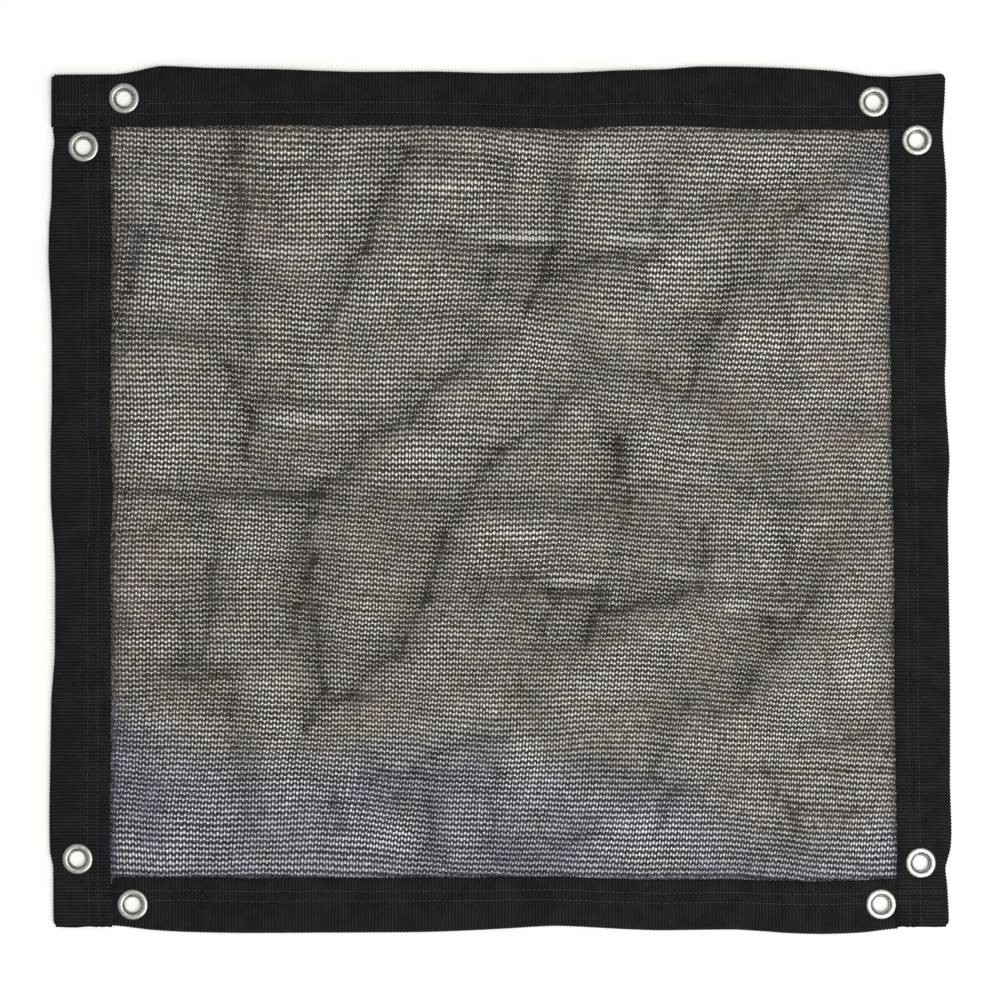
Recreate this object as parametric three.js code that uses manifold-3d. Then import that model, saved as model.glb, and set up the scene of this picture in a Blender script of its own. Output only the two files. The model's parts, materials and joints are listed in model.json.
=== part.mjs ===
// Debris net: a square of knitted net in a border of folded webbing, with a metal eyelet near
// each end of every border strip. It lies on a floor at Z = 0, +Y towards its upper edge.
import * as THREE from "three";
import { mergeVertices } from "three/addons/utils/BufferGeometryUtils.js";
import Module from "manifold-3d";

const wasm = await Module();
wasm.setup();

// Driving dimensions, in millimetres.
const GAP = 0.3;
const NET_THICKNESS = 1.0;
const NET_MARGIN = 8.0;
const WEBBING_LAYER = 1.3;
const WEBBING_WIDTH = 38;
const TONGUE_REACH = 7.6;
const TONGUE_INSET = 3;
const TONGUE_ROOT = 6;
const NET_EDGE_BLEND = 20;
const NET_EDGE_FLAT = 5;
const NET_FLOOR_CLEARANCE = 0.1;
const SWELL_RISE = 0.7;
const SWELL_LENGTH_X = 172;
const SWELL_LENGTH_Y = 134;
const SWELL_PHASE = 1;
const FOLD_MERGE = 4;
const BORE_RADIUS = 4.8;
const BORE_MOUTH = 0.3;
const BARREL_WALL = 0.6;
const BACK_FLANGE_RADIUS = 9.95;
const BACK_FLANGE_THICKNESS = 0.5;
const FLANGE_RADIUS = 10.25;
const FRONT_FLANGE_THICKNESS = 1.3;
const ROLLED_EDGE = 0.4;
const CROWN_INNER_RADIUS = 6.75;
const CROWN_OUTER_RADIUS = 8.75;
const FUNNEL_RADIUS = 5.5;
const FUNNEL_DROP = 0.6;

// Sizes that follow from them.
const SLOT_HEIGHT = NET_THICKNESS + 2 * GAP;
const SLOT_DEPTH = NET_MARGIN + GAP;
const WEBBING_THICKNESS = 2 * WEBBING_LAYER + SLOT_HEIGHT;
const NET_EDGE_HEIGHT = WEBBING_LAYER + GAP;
const BARREL_RADIUS = BORE_RADIUS + BARREL_WALL;
const SEAT_RADIUS = FLANGE_RADIUS + GAP;
const SEAT_DEPTH = BACK_FLANGE_THICKNESS + GAP;
const FRONT_FLANGE_HEIGHT = WEBBING_THICKNESS - SEAT_DEPTH + GAP;
const EYELET_HEIGHT = FRONT_FLANGE_HEIGHT + FRONT_FLANGE_THICKNESS;

// How finely the curved shapes are divided.
const EYELET_SIDES = 20;
const FOLD_ARC_STEPS = 3;
const STEPS_PER_ROW = 2;
const NET_COLUMNS = 36;
const NET_ROWS = 35;

const MATERIALS = {
  net: new THREE.MeshStandardMaterial({ color: 0x2c2a28, roughness: 0.85, metalness: 0 }),
  webbing: new THREE.MeshStandardMaterial({ color: 0x1d1d1f, roughness: 0.9, metalness: 0 }),
  eyelet: new THREE.MeshStandardMaterial({ color: 0xcac8c3, roughness: 0.3, metalness: 1 }),
};

// Turns rows of numbers into objects with the named columns.
function table(columns, rows) {
  return rows.map((row) => Object.fromEntries(columns.map((name, i) => [name, row[i]])));
}

// Each strip is webbing folded lengthwise. at runs along the strip, outer is the folded edge,
// inner the open edge, and lift how far its underside stands off the floor.
const STRIP_COLUMNS = ["at", "outer", "inner", "lift"];

const TOP_STRIP = {
  name: "border_top",
  alongX: true,
  outward: 1,
  tuckedStart: false,
  tuckedEnd: true,
  rows: table(STRIP_COLUMNS, [
    [-309.1, 291.6, 257.0, 0],
    [-306.6, 293.4, 257.0, 0],
    [-266.0, 293.7, 257.0, 0],
    [-249.4, 296.2, 257.1, 0],
    [-232.9, 299.4, 257.6, 0],
    [-201.1, 298.1, 258.0, 0.4],
    [-148.7, 297.0, 258.3, 1.2],
    [-96.3, 295.3, 258.3, 0.5],
    [-48.0, 295.6, 258.0, 0],
    [0.3, 294.4, 256.8, 0.8],
    [41.7, 294.5, 255.8, 2.0],
    [81.8, 296.3, 257.4, 1.2],
    [113.5, 297.2, 257.9, 0.2],
    [139.7, 299.1, 257.2, 0],
    [165.9, 298.9, 255.8, 0.4],
    [207.3, 297.4, 255.3, 0.6],
    [234.9, 295.5, 255.3, 0],
    [257.0, 292.4, 255.4, 0],
    [268.5, 292.1, 255.5, 0],
  ]),
};

const BOTTOM_STRIP = {
  name: "border_bottom",
  alongX: true,
  outward: -1,
  tuckedStart: true,
  tuckedEnd: true,
  rows: table(STRIP_COLUMNS, [
    [-267.0, -293.6, -260.5, 0],
    [-260.5, -294.0, -260.5, 0],
    [-241.2, -296.4, -260.2, 0],
    [-216.3, -297.9, -260.2, 0],
    [-174.9, -298.6, -260.8, 0.6],
    [-117.0, -298.3, -260.5, 1.4],
    [-61.8, -298.1, -260.5, 0.4],
    [-25.9, -297.1, -260.5, 0],
    [7.2, -295.3, -259.8, 1.2],
    [39.0, -293.6, -259.6, 2.2],
    [69.3, -295.0, -260.8, 1.3],
    [110.7, -296.8, -262.0, 0],
    [159.0, -296.2, -261.5, 1.0],
    [200.4, -298.8, -262.9, 0.3],
    [222.5, -299.4, -263.1, 0],
    [248.7, -298.4, -262.3, 0],
    [262.5, -296.8, -261.5, 0],
    [273.6, -295.7, -261.2, 0],
  ]),
};

const LEFT_STRIP = {
  name: "border_left",
  alongX: false,
  outward: -1,
  tuckedStart: false,
  tuckedEnd: true,
  rows: table(STRIP_COLUMNS, [
    [-294.3, -306.0, -267.4, 0],
    [-290.8, -307.9, -267.4, 0],
    [-279.8, -308.1, -267.5, 0],
    [-254.3, -308.2, -268.4, 0],
    [-241.8, -310.4, -268.6, 0],
    [-221.1, -310.8, -268.8, 0],
    [-179.7, -310.2, -268.3, 0.6],
    [-138.3, -309.5, -268.3, 0.2],
    [-103.8, -307.0, -268.1, 1.6],
    [-52.1, -306.8, -268.4, 2.0],
    [-27.9, -307.9, -268.1, 1.1],
    [3.8, -309.9, -267.2, 0],
    [34.2, -309.9, -268.0, 0.3],
    [68.7, -309.1, -268.8, 1.0],
    [103.2, -309.1, -268.2, 0.2],
    [134.9, -309.7, -268.4, 0.9],
    [168.0, -311.4, -267.8, 0.5],
    [188.7, -311.0, -267.8, 0],
    [206.7, -309.5, -268.2, 0],
    [234.3, -308.9, -268.4, 0],
    [246.7, -307.5, -268.4, 0],
    [256.6, -308.4, -268.4, 0],
  ]),
};

const RIGHT_STRIP = {
  name: "border_right",
  alongX: false,
  outward: 1,
  tuckedStart: false,
  tuckedEnd: false,
  rows: table(STRIP_COLUMNS, [
    [-294.3, 307.4, 273.9, 0],
    [-290.8, 309.6, 273.9, 0],
    [-276.3, 309.1, 273.9, 0],
    [-263.9, 308.3, 273.9, 0],
    [-254.3, 307.3, 273.9, 0],
    [-240.5, 310.7, 273.9, 0],
    [-229.4, 311.4, 273.8, 0],
    [-193.5, 310.4, 273.2, 0.5],
    [-138.3, 310.4, 272.2, 0.9],
    [-69.3, 309.6, 271.9, 1.4],
    [-0.3, 308.9, 271.2, 0.2],
    [27.3, 310.0, 270.3, 0],
    [48.0, 308.8, 270.1, 0.3],
    [85.2, 306.8, 269.8, 1.5],
    [110.1, 307.6, 269.3, 1.2],
    [172.2, 307.8, 268.8, 0.3],
    [213.6, 308.0, 268.8, 0],
    [234.3, 306.8, 268.8, 0],
    [253.6, 305.3, 268.8, 0],
    [272.9, 306.4, 268.8, 0],
    [291.5, 307.1, 268.8, 0],
    [293.6, 305.2, 268.8, 0],
  ]),
};

// Eyelet centres.
const EYELETS = table(["name", "x", "y", "strip"], [
  ["eyelet_top_left", -259.2, 276.9, "border_top"],
  ["eyelet_top_right", 257.6, 274.4, "border_top"],
  ["eyelet_left_upper", -287.2, 243.6, "border_left"],
  ["eyelet_left_lower", -291.2, -247.4, "border_left"],
  ["eyelet_right_upper", 287.5, 248.1, "border_right"],
  ["eyelet_right_lower", 290.1, -250.1, "border_right"],
  ["eyelet_bottom_left", -253.2, -278.9, "border_bottom"],
  ["eyelet_bottom_right", 262.7, -278.6, "border_bottom"],
]);

// Folds of the net, one to a row: it runs from x1, y1 over a bend at x2, y2 to x3, y3. rise is
// its height over the floor and spread its half width.
const FOLDS = table(["x1", "y1", "x2", "y2", "x3", "y3", "rise", "spread"], [
  [-183, 256, -179, 207, -172, 107, 5, 9],
  [-60, 241, -89, 179, -117, 124, 6.5, 9],
  [-256, 220, -253, 148, -263, 117, 4.5, 8],
  [-258, 114, -207, 112, -179, 86, 4, 9],
  [-157, 76, -167, 58, -175, 31, 6, 9],
  [0, 110, -51, 72, -111, 13, 5, 10],
  [57, 84, -13, 17, -41, -36, 5.5, 10],
  [-41, -36, -58, -87, -103, -138, 6.5, 9],
  [-263, 7, -117, 3, 14, -6, 4.5, 8],
  [14, -6, 73, -4, 104, 0, 4.5, 10],
  [200, 0, 235, -1, 266, 0, 3, 9],
  [-48, 174, 33, 172, 27, 146, 6, 9],
  [31, 153, 87, 165, 114, 207, 5, 9],
  [33, 172, 42, 214, 50, 248, 3, 9],
  [254, 234, 200, 198, 149, 202, 4, 9],
  [197, 172, 162, 147, 131, 74, 5, 9],
  [207, 148, 235, 149, 263, 151, 3, 10],
  [43, 134, 69, 93, 131, 72, 4, 11],
  [131, 72, 197, 43, 256, 51, 4, 11],
  [82, 42, 82, 31, 81, 19, 8, 8],
  [-13, -64, 69, -64, 64, -91, 6, 9],
  [69, -80, 121, -71, 144, -35, 5, 9],
  [-131, -11, -132, -62, -124, -131, 5, 10],
  [-198, -52, -203, -97, -219, -116, 6, 9],
  [-248, -116, -214, -120, -186, -122, 4, 9],
  [232, -33, 204, -83, 169, -131, 5, 10],
  [18, -145, 56, -183, 104, -192, 4, 11],
  [0, -162, -38, -180, -72, -204, 4, 11],
  [56, -231, 31, -242, 4, -247, 4, 9],
  [131, -142, 114, -162, 105, -190, 3.5, 10],
  [-48, -207, -47, -228, -46, -250, 4, 9],
  [-247, -176, -243, -200, -240, -231, 4, 10],
  [-185, -142, -176, -180, -169, -228, 3, 10],
]);

// The geometry's triangles as a solid, with the vertices of neighbouring faces merged.
function solidOf(geometry) {
  const bare = new THREE.BufferGeometry();
  bare.setAttribute("position", geometry.getAttribute("position"));
  bare.setIndex(geometry.index);
  const merged = mergeVertices(bare, 1e-4);
  return new wasm.Manifold(
    new wasm.Mesh({
      numProp: 3,
      vertProperties: merged.attributes.position.array,
      triVerts: new Uint32Array(merged.index.array),
    }),
  );
}

// A named mesh from a solid.
function meshOf(name, solid, material) {
  const data = solid.getMesh();
  const geometry = new THREE.BufferGeometry();
  geometry.setAttribute("position", new THREE.BufferAttribute(data.vertProperties, 3));
  geometry.setIndex(new THREE.BufferAttribute(data.triVerts, 1));
  geometry.computeVertexNormals();
  const mesh = new THREE.Mesh(geometry, material);
  mesh.name = name;
  return mesh;
}

// Moves each vertex of a geometry to where place(vertex) puts it.
function displace(geometry, place) {
  const position = geometry.getAttribute("position");
  const vertex = new THREE.Vector3();
  for (let i = 0; i < position.count; i++) {
    vertex.fromBufferAttribute(position, i);
    const moved = place(vertex);
    position.setXYZ(i, moved.x, moved.y, moved.z);
  }
  return geometry;
}

// Slope of a column at row k: level at a peak or a dip, so that the curve never overshoots.
function slopeAt(rows, column, k) {
  if (k === 0 || k === rows.length - 1) return 0;
  const [before, here, after] = [rows[k - 1], rows[k], rows[k + 1]];
  const back = (here[column] - before[column]) / (here.at - before.at);
  const ahead = (after[column] - here[column]) / (after.at - here.at);
  return back * ahead <= 0 ? 0 : (2 * back * ahead) / (back + ahead);
}

// A column's value anywhere along a strip, on one smooth curve through its rows.
function valueAt(rows, column, at) {
  const first = rows[0];
  const last = rows[rows.length - 1];
  if (at <= first.at) return first[column];
  if (at >= last.at) return last[column];
  const k = rows.findIndex((row) => row.at > at) - 1;
  const span = rows[k + 1].at - rows[k].at;
  const t = (at - rows[k].at) / span;
  const start = rows[k][column];
  const end = rows[k + 1][column];
  const startSlope = slopeAt(rows, column, k) * span;
  const endSlope = slopeAt(rows, column, k + 1) * span;
  return (
    start * (1 + 2 * t) * (1 - t) ** 2 +
    startSlope * t * (1 - t) ** 2 +
    end * t ** 2 * (3 - 2 * t) +
    endSlope * t ** 2 * (t - 1)
  );
}

// Where the strip is cut into sections: at its rows, and evenly between them.
function stationsOf(strip) {
  const stations = [];
  for (let k = 0; k < strip.rows.length - 1; k++) {
    for (let step = 0; step < STEPS_PER_ROW; step++) {
      const share = step / STEPS_PER_ROW;
      stations.push(THREE.MathUtils.lerp(strip.rows[k].at, strip.rows[k + 1].at, share));
    }
  }
  stations.push(strip.rows[strip.rows.length - 1].at);
  return stations;
}

// A point from its place along the strip, across it and over the floor.
function stripPoint(strip, at, across, up) {
  return strip.alongX ? new THREE.Vector3(at, across, up) : new THREE.Vector3(across, at, up);
}

// Section of the folded webbing: x runs from the fold to the open edge and y up from the floor.
function foldedSection() {
  const bend = WEBBING_THICKNESS / 2;
  const section = new THREE.Shape();
  section.moveTo(WEBBING_WIDTH, 0);
  section.lineTo(WEBBING_WIDTH, WEBBING_LAYER);
  section.lineTo(WEBBING_WIDTH - SLOT_DEPTH, WEBBING_LAYER);
  section.lineTo(WEBBING_WIDTH - SLOT_DEPTH, WEBBING_LAYER + SLOT_HEIGHT);
  section.lineTo(WEBBING_WIDTH, WEBBING_LAYER + SLOT_HEIGHT);
  section.lineTo(WEBBING_WIDTH, WEBBING_THICKNESS);
  section.absarc(bend, bend, bend, Math.PI / 2, (3 * Math.PI) / 2, false);
  section.closePath();
  return section;
}

// The strip's webbing, its section following the table's edges. The extrusion runs along the
// strip in whichever direction keeps its faces outwards.
function webbingBody(strip) {
  const stations = stationsOf(strip);
  if (strip.outward > 0 === strip.alongX) stations.reverse();
  const steps = stations.length - 1;
  const geometry = new THREE.ExtrudeGeometry(foldedSection(), {
    depth: 1,
    steps,
    curveSegments: FOLD_ARC_STEPS,
    bevelEnabled: false,
  });
  return displace(geometry, ({ x, y, z }) => {
    const at = stations[Math.round(z * steps)];
    const outer = valueAt(strip.rows, "outer", at);
    const inner = valueAt(strip.rows, "inner", at);
    const across =
      x < WEBBING_WIDTH / 2
        ? outer - strip.outward * x
        : inner + strip.outward * (WEBBING_WIDTH - x);
    return stripPoint(strip, at, across, y + valueAt(strip.rows, "lift", at));
  });
}

// The thin end of a strip that is tucked into its neighbour's fold beside the net's margin.
function tongue(strip, end, direction) {
  const outer = end.outer - strip.outward * TONGUE_INSET;
  const inner = end.inner + strip.outward * (SLOT_DEPTH + GAP + TONGUE_INSET / 2);
  const from = end.at - direction * TONGUE_ROOT;
  const to = end.at + direction * TONGUE_REACH;
  const size = stripPoint(strip, Math.abs(to - from), Math.abs(outer - inner), NET_THICKNESS);
  const centre = stripPoint(
    strip,
    (from + to) / 2,
    (outer + inner) / 2,
    NET_EDGE_HEIGHT + NET_THICKNESS / 2,
  );
  return new THREE.BoxGeometry(size.x, size.y, size.z).translate(centre.x, centre.y, centre.z);
}

// Turns a profile of [radius, height] pairs round the vertical line through x, y.
function turned(profile, x, y) {
  const points = profile.map(([radius, height]) => new THREE.Vector2(radius, height));
  return new THREE.LatheGeometry(points, EYELET_SIDES)
    .rotateX(Math.PI / 2)
    .translate(x, y, 0);
}

// What an eyelet takes out of the webbing: the punched hole, and a shallow seat pressed into
// each face by its flanges.
function eyeletSeat({ x, y }) {
  const hole = BARREL_RADIUS + GAP;
  const below = -1;
  const above = WEBBING_THICKNESS + 1;
  const profile = [
    [0, below],
    [SEAT_RADIUS, below],
    [SEAT_RADIUS, SEAT_DEPTH],
    [hole, SEAT_DEPTH],
    [hole, WEBBING_THICKNESS - SEAT_DEPTH],
    [SEAT_RADIUS, WEBBING_THICKNESS - SEAT_DEPTH],
    [SEAT_RADIUS, above],
    [0, above],
  ];
  return turned(profile, x, y);
}

function borderStrip(strip) {
  let solid = solidOf(webbingBody(strip));
  const start = strip.rows[0];
  const end = strip.rows[strip.rows.length - 1];
  if (strip.tuckedStart) solid = solid.add(solidOf(tongue(strip, start, -1)));
  if (strip.tuckedEnd) solid = solid.add(solidOf(tongue(strip, end, 1)));
  for (const eyelet of EYELETS.filter((row) => row.strip === strip.name)) {
    solid = solid.subtract(solidOf(eyeletSeat(eyelet)));
  }
  return meshOf(strip.name, solid, MATERIALS.webbing);
}

// An eyelet after clinching: barrel, rolled front flange with a flat crown, and flat back flange.
function eyeletMesh({ name, x, y }) {
  const profile = [
    [BORE_RADIUS + BORE_MOUTH, 0],
    [BACK_FLANGE_RADIUS, 0],
    [BACK_FLANGE_RADIUS, BACK_FLANGE_THICKNESS],
    [BARREL_RADIUS, BACK_FLANGE_THICKNESS],
    [BARREL_RADIUS, FRONT_FLANGE_HEIGHT],
    [FLANGE_RADIUS - ROLLED_EDGE, FRONT_FLANGE_HEIGHT],
    [FLANGE_RADIUS, FRONT_FLANGE_HEIGHT + ROLLED_EDGE],
    [FLANGE_RADIUS - ROLLED_EDGE, EYELET_HEIGHT - ROLLED_EDGE],
    [CROWN_OUTER_RADIUS, EYELET_HEIGHT],
    [CROWN_INNER_RADIUS, EYELET_HEIGHT],
    [FUNNEL_RADIUS, EYELET_HEIGHT - FUNNEL_DROP],
    [BORE_RADIUS, FRONT_FLANGE_HEIGHT - ROLLED_EDGE],
    [BORE_RADIUS, BORE_MOUTH],
    [BORE_RADIUS + BORE_MOUTH, 0],
  ];
  return meshOf(name, solidOf(turned(profile, x, y)), MATERIALS.eyelet);
}

// Height of one fold over a point: a soft ridge that dies away from its bent line.
function ridge(fold, x, y) {
  const toStretch = (ax, ay, bx, by) => {
    const along = (x - ax) * (bx - ax) + (y - ay) * (by - ay);
    const t = THREE.MathUtils.clamp(along / ((bx - ax) ** 2 + (by - ay) ** 2), 0, 1);
    return Math.hypot(x - ax - t * (bx - ax), y - ay - t * (by - ay));
  };
  const distance = Math.min(
    toStretch(fold.x1, fold.y1, fold.x2, fold.y2),
    toStretch(fold.x2, fold.y2, fold.x3, fold.y3),
  );
  return fold.rise * Math.exp(-((distance / fold.spread) ** 2));
}

// Height of the net's underside where nothing holds it.
function freeHeight(x, y) {
  const folds = FOLDS.reduce((sum, fold) => sum + ridge(fold, x, y) ** FOLD_MERGE, 0);
  const waveX = Math.sin((2 * Math.PI * x) / SWELL_LENGTH_X + SWELL_PHASE);
  const waveY = Math.sin((2 * Math.PI * y) / SWELL_LENGTH_Y);
  const swell = SWELL_RISE * (1 + waveX * waveY);
  return NET_FLOOR_CLEARANCE + swell + folds ** (1 / FOLD_MERGE);
}

// How far a point of the net lies inside the open edge of the nearest strip, and that strip's
// lift there.
function nearestEdge(x, y) {
  const edges = [
    [x - valueAt(LEFT_STRIP.rows, "inner", y), valueAt(LEFT_STRIP.rows, "lift", y)],
    [valueAt(RIGHT_STRIP.rows, "inner", y) - x, valueAt(RIGHT_STRIP.rows, "lift", y)],
    [y - valueAt(BOTTOM_STRIP.rows, "inner", x), valueAt(BOTTOM_STRIP.rows, "lift", x)],
    [valueAt(TOP_STRIP.rows, "inner", x) - y, valueAt(TOP_STRIP.rows, "lift", x)],
  ];
  const [inside, lift] = edges.reduce((best, edge) => (edge[0] < best[0] ? edge : best));
  return { inside, lift };
}

// Height of the net's underside: level in the webbing's fold, free away from it.
function netHeight(x, y) {
  const { inside, lift } = nearestEdge(x, y);
  const free = THREE.MathUtils.smoothstep(inside, 0, NET_EDGE_BLEND);
  return (1 - free) * (NET_EDGE_HEIGHT + lift) + free * freeHeight(x, y);
}

// Places of the net's grid lines across a length: the margin in the webbing, its open edge, a
// short level stretch, then even steps to the same lines on the other side. As shares of it.
function gridLines(count, length) {
  const edge = [0, NET_MARGIN, NET_MARGIN + NET_EDGE_FLAT].map((d) => d / length);
  const innerCount = count - 2 * edge.length + 2;
  const first = edge[edge.length - 1];
  const between = Array.from({ length: innerCount - 1 }, (_, i) =>
    THREE.MathUtils.lerp(first, 1 - first, (i + 1) / innerCount),
  );
  return [...edge, ...between, ...edge.map((share) => 1 - share).reverse()];
}

// A unit box divided into a grid. The cells of its underside are turned over to be cut along the
// same diagonals as those of its top, so that the two stay parallel however they are bent.
function griddedSheet(columnCount, rowCount) {
  const geometry = new THREE.BoxGeometry(1, 1, 1, columnCount, rowCount, 1);
  const position = geometry.getAttribute("position");
  const underside = geometry.groups[geometry.groups.length - 1];
  const first = position.count - (columnCount + 1) * (rowCount + 1);
  for (let i = first; i < position.count; i++) position.setX(i, -position.getX(i));
  for (let i = underside.start; i < underside.start + underside.count; i += 3) {
    const [second, third] = [geometry.index.getX(i + 1), geometry.index.getX(i + 2)];
    geometry.index.setX(i + 1, third);
    geometry.index.setX(i + 2, second);
  }
  return geometry;
}

// The net: a sheet whose grid points are moved on to the folds.
function netPanel() {
  const reach = {
    left: (y) => valueAt(LEFT_STRIP.rows, "inner", y) - NET_MARGIN,
    right: (y) => valueAt(RIGHT_STRIP.rows, "inner", y) + NET_MARGIN,
    bottom: (x) => valueAt(BOTTOM_STRIP.rows, "inner", x) - NET_MARGIN,
    top: (x) => valueAt(TOP_STRIP.rows, "inner", x) + NET_MARGIN,
  };
  const columns = gridLines(NET_COLUMNS, reach.right(0) - reach.left(0));
  const rows = gridLines(NET_ROWS, reach.top(0) - reach.bottom(0));
  const geometry = griddedSheet(columns.length - 1, rows.length - 1);
  displace(geometry, (corner) => {
    const u = columns[Math.round((corner.x + 0.5) * (columns.length - 1))];
    const v = rows[Math.round((corner.y + 0.5) * (rows.length - 1))];
    let x = THREE.MathUtils.lerp(reach.left(0), reach.right(0), u);
    let y = THREE.MathUtils.lerp(reach.bottom(x), reach.top(x), v);
    x = THREE.MathUtils.lerp(reach.left(y), reach.right(y), u);
    y = THREE.MathUtils.lerp(reach.bottom(x), reach.top(x), v);
    const face = corner.z > 0 ? NET_THICKNESS : 0;
    return new THREE.Vector3(x, y, netHeight(x, y) + face);
  });
  return meshOf("net_panel", solidOf(geometry), MATERIALS.net);
}

const debrisNet = new THREE.Group();
debrisNet.add(netPanel());
for (const strip of [TOP_STRIP, BOTTOM_STRIP, LEFT_STRIP, RIGHT_STRIP]) {
  debrisNet.add(borderStrip(strip));
}
for (const eyelet of EYELETS) {
  debrisNet.add(eyeletMesh(eyelet));
}

export default debrisNet;
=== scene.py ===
"""Looks of the debris net: its knitted mesh, folded webbing border, sewing and eyelets.

Lengths are in millimetres in the part's own frame, and are turned to metres as each mesh is made.
"""

from __future__ import annotations

import json
import logging
import math
from collections.abc import Callable, Iterator
from dataclasses import dataclass
from enum import Enum
from functools import cached_property, partial
from itertools import chain, pairwise

import bmesh
import bpy
import numpy as np
from mathutils import Matrix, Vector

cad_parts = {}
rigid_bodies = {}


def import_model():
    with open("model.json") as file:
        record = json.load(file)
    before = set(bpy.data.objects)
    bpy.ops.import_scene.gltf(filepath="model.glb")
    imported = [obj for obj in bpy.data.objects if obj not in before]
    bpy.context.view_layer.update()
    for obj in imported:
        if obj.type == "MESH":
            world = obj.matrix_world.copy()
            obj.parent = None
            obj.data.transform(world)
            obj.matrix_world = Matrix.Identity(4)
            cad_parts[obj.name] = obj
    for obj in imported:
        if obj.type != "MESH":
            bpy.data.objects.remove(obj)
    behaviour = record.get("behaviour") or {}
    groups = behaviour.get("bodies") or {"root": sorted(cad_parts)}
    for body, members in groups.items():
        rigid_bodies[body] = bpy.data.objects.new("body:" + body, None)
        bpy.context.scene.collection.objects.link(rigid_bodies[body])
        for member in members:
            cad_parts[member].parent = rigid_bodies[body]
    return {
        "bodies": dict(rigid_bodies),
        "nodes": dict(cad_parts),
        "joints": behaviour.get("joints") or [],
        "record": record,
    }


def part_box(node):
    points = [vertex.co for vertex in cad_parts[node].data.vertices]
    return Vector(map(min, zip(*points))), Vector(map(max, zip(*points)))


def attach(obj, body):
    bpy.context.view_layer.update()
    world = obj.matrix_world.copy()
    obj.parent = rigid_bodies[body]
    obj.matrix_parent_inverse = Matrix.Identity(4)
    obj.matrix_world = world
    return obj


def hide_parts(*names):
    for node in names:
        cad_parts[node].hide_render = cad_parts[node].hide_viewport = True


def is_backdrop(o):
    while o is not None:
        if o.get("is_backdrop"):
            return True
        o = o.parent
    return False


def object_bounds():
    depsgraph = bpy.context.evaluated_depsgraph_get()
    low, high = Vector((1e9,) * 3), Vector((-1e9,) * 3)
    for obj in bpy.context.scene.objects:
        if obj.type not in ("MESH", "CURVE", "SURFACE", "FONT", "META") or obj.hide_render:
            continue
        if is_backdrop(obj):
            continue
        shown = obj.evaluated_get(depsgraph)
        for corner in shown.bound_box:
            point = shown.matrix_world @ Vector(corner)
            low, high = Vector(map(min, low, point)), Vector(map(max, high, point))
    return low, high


LOG = logging.getLogger("debris_net")
MM = 0.001

# What adds a node and gives its output, and what a finish lays out: the shader's inputs and the
# pattern that stands out as its relief.
AddNode = Callable[..., bpy.types.NodeSocket]
Layout = tuple[dict[str, object], bpy.types.NodeSocket]

# The two ends of a range.
Span = tuple[float, float]

# Webbing: how wide it is once folded, how thick, and how far apart its ribs and sewing are.
WEBBING_WIDTH = 38.0
WEBBING_THICKNESS = 4.2
RIB_PITCH = 2.3
RIB_RISE = 0.15
SEAMS = (22.2, 29.0)

# How far from its fold a strip's points turn from following the fold to following the open edge,
# and the least share of its width that a whole section of its solid spans.
STRIP_BLEND = (6, 20)
STRIP_SECTION = 0.8

# Section of the folded webbing: from the fold, and over the floor. It runs along the underside
# to the fold, back along the top with a groove under each row of sewing, and into the fold.
SECTION = (
    (38.0, 0.45),
    (37.5, 0.0),
    (27.0, 0.0),
    (15.0, 0.0),
    (3.0, 0.0),
    (1.05, 0.28),
    (0.28, 1.05),
    (0.0, 2.1),
    (0.28, 3.15),
    (1.05, 3.92),
    (3.0, 4.2),
    (8.0, 4.22),
    (14.0, 4.2),
    (20.4, 4.15),
    (22.2, 3.85),
    (24.0, 4.12),
    (27.4, 4.1),
    (29.0, 3.8),
    (30.6, 4.05),
    (34.5, 4.0),
    (37.2, 3.85),
    (38.0, 3.5),
    (37.8, 2.95),
    (30.2, 2.9),
    (29.0, 2.15),
    (2.6, 2.15),
    (2.6, 2.05),
    (29.0, 2.05),
    (30.2, 1.3),
    (37.8, 1.3),
)

# How many of its points are outside the fold, and which of them lie on its top.
OUTSIDE_POINTS = 22
TOP_POINTS = slice(10, 22)

# Eyelet profile, radius and height: washer, barrel, underside of the funnel and the crown, rolled
# rim, flat crown, funnel, groove, the barrel's rolled top, and the bore.
EYELET_PROFILE = (
    (5.35, 0.0),
    (9.6, 0.0),
    (9.95, 0.15),
    (9.95, 0.35),
    (9.6, 0.5),
    (5.85, 0.55),
    (5.8, 2.55),
    (6.1, 2.85),
    (6.8, 2.9),
    (7.05, 3.2),
    (7.15, 3.62),
    (9.8, 3.62),
    (10.3, 3.7),
    (10.5, 3.9),
    (10.48, 4.15),
    (10.3, 4.5),
    (9.95, 4.8),
    (9.45, 4.95),
    (8.9, 5.0),
    (8.2, 5.0),
    (7.5, 4.95),
    (7.1, 4.8),
    (6.8, 4.5),
    (6.66, 3.9),
    (6.6, 3.2),
    (6.3, 3.15),
    (6.2, 3.5),
    (5.95, 3.5),
    (5.6, 3.2),
    (5.35, 2.8),
    (5.2, 2.3),
    (5.15, 0.5),
    (5.25, 0.15),
)

# Eyelet: how far its rim reaches over the webbing, and how far from its centre and how thin it
# pinches the webbing.
EYELET_RADIUS = 10.3
DIMPLE_RADIUS = 13.0
DIMPLE_SQUEEZE = 0.72

# Knit: how far apart its upright wales and level courses are, as (place, pitch). Then how far the
# lines go, how the wales lean and fan out, and how the courses tilt.
WALE_PITCH = ((-270, 4.75), (-150, 4.65), (0, 4.45), (150, 4.25), (270, 4.2))
COURSE_PITCH = (
    (-260, 4.0),
    (-200, 3.75),
    (-120, 3.5),
    (-40, 3.6),
    (40, 3.8),
    (120, 3.9),
    (260, 4.0),
)
LATTICE_REACH = 330.0
WALE_LEAN = math.tan(math.radians(5))
WALE_FAN = 0.00023
COURSE_TILT = math.tan(math.radians(2))

# Half the width and half the height of the border's opening.
OPENING = (270, 260)

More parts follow.
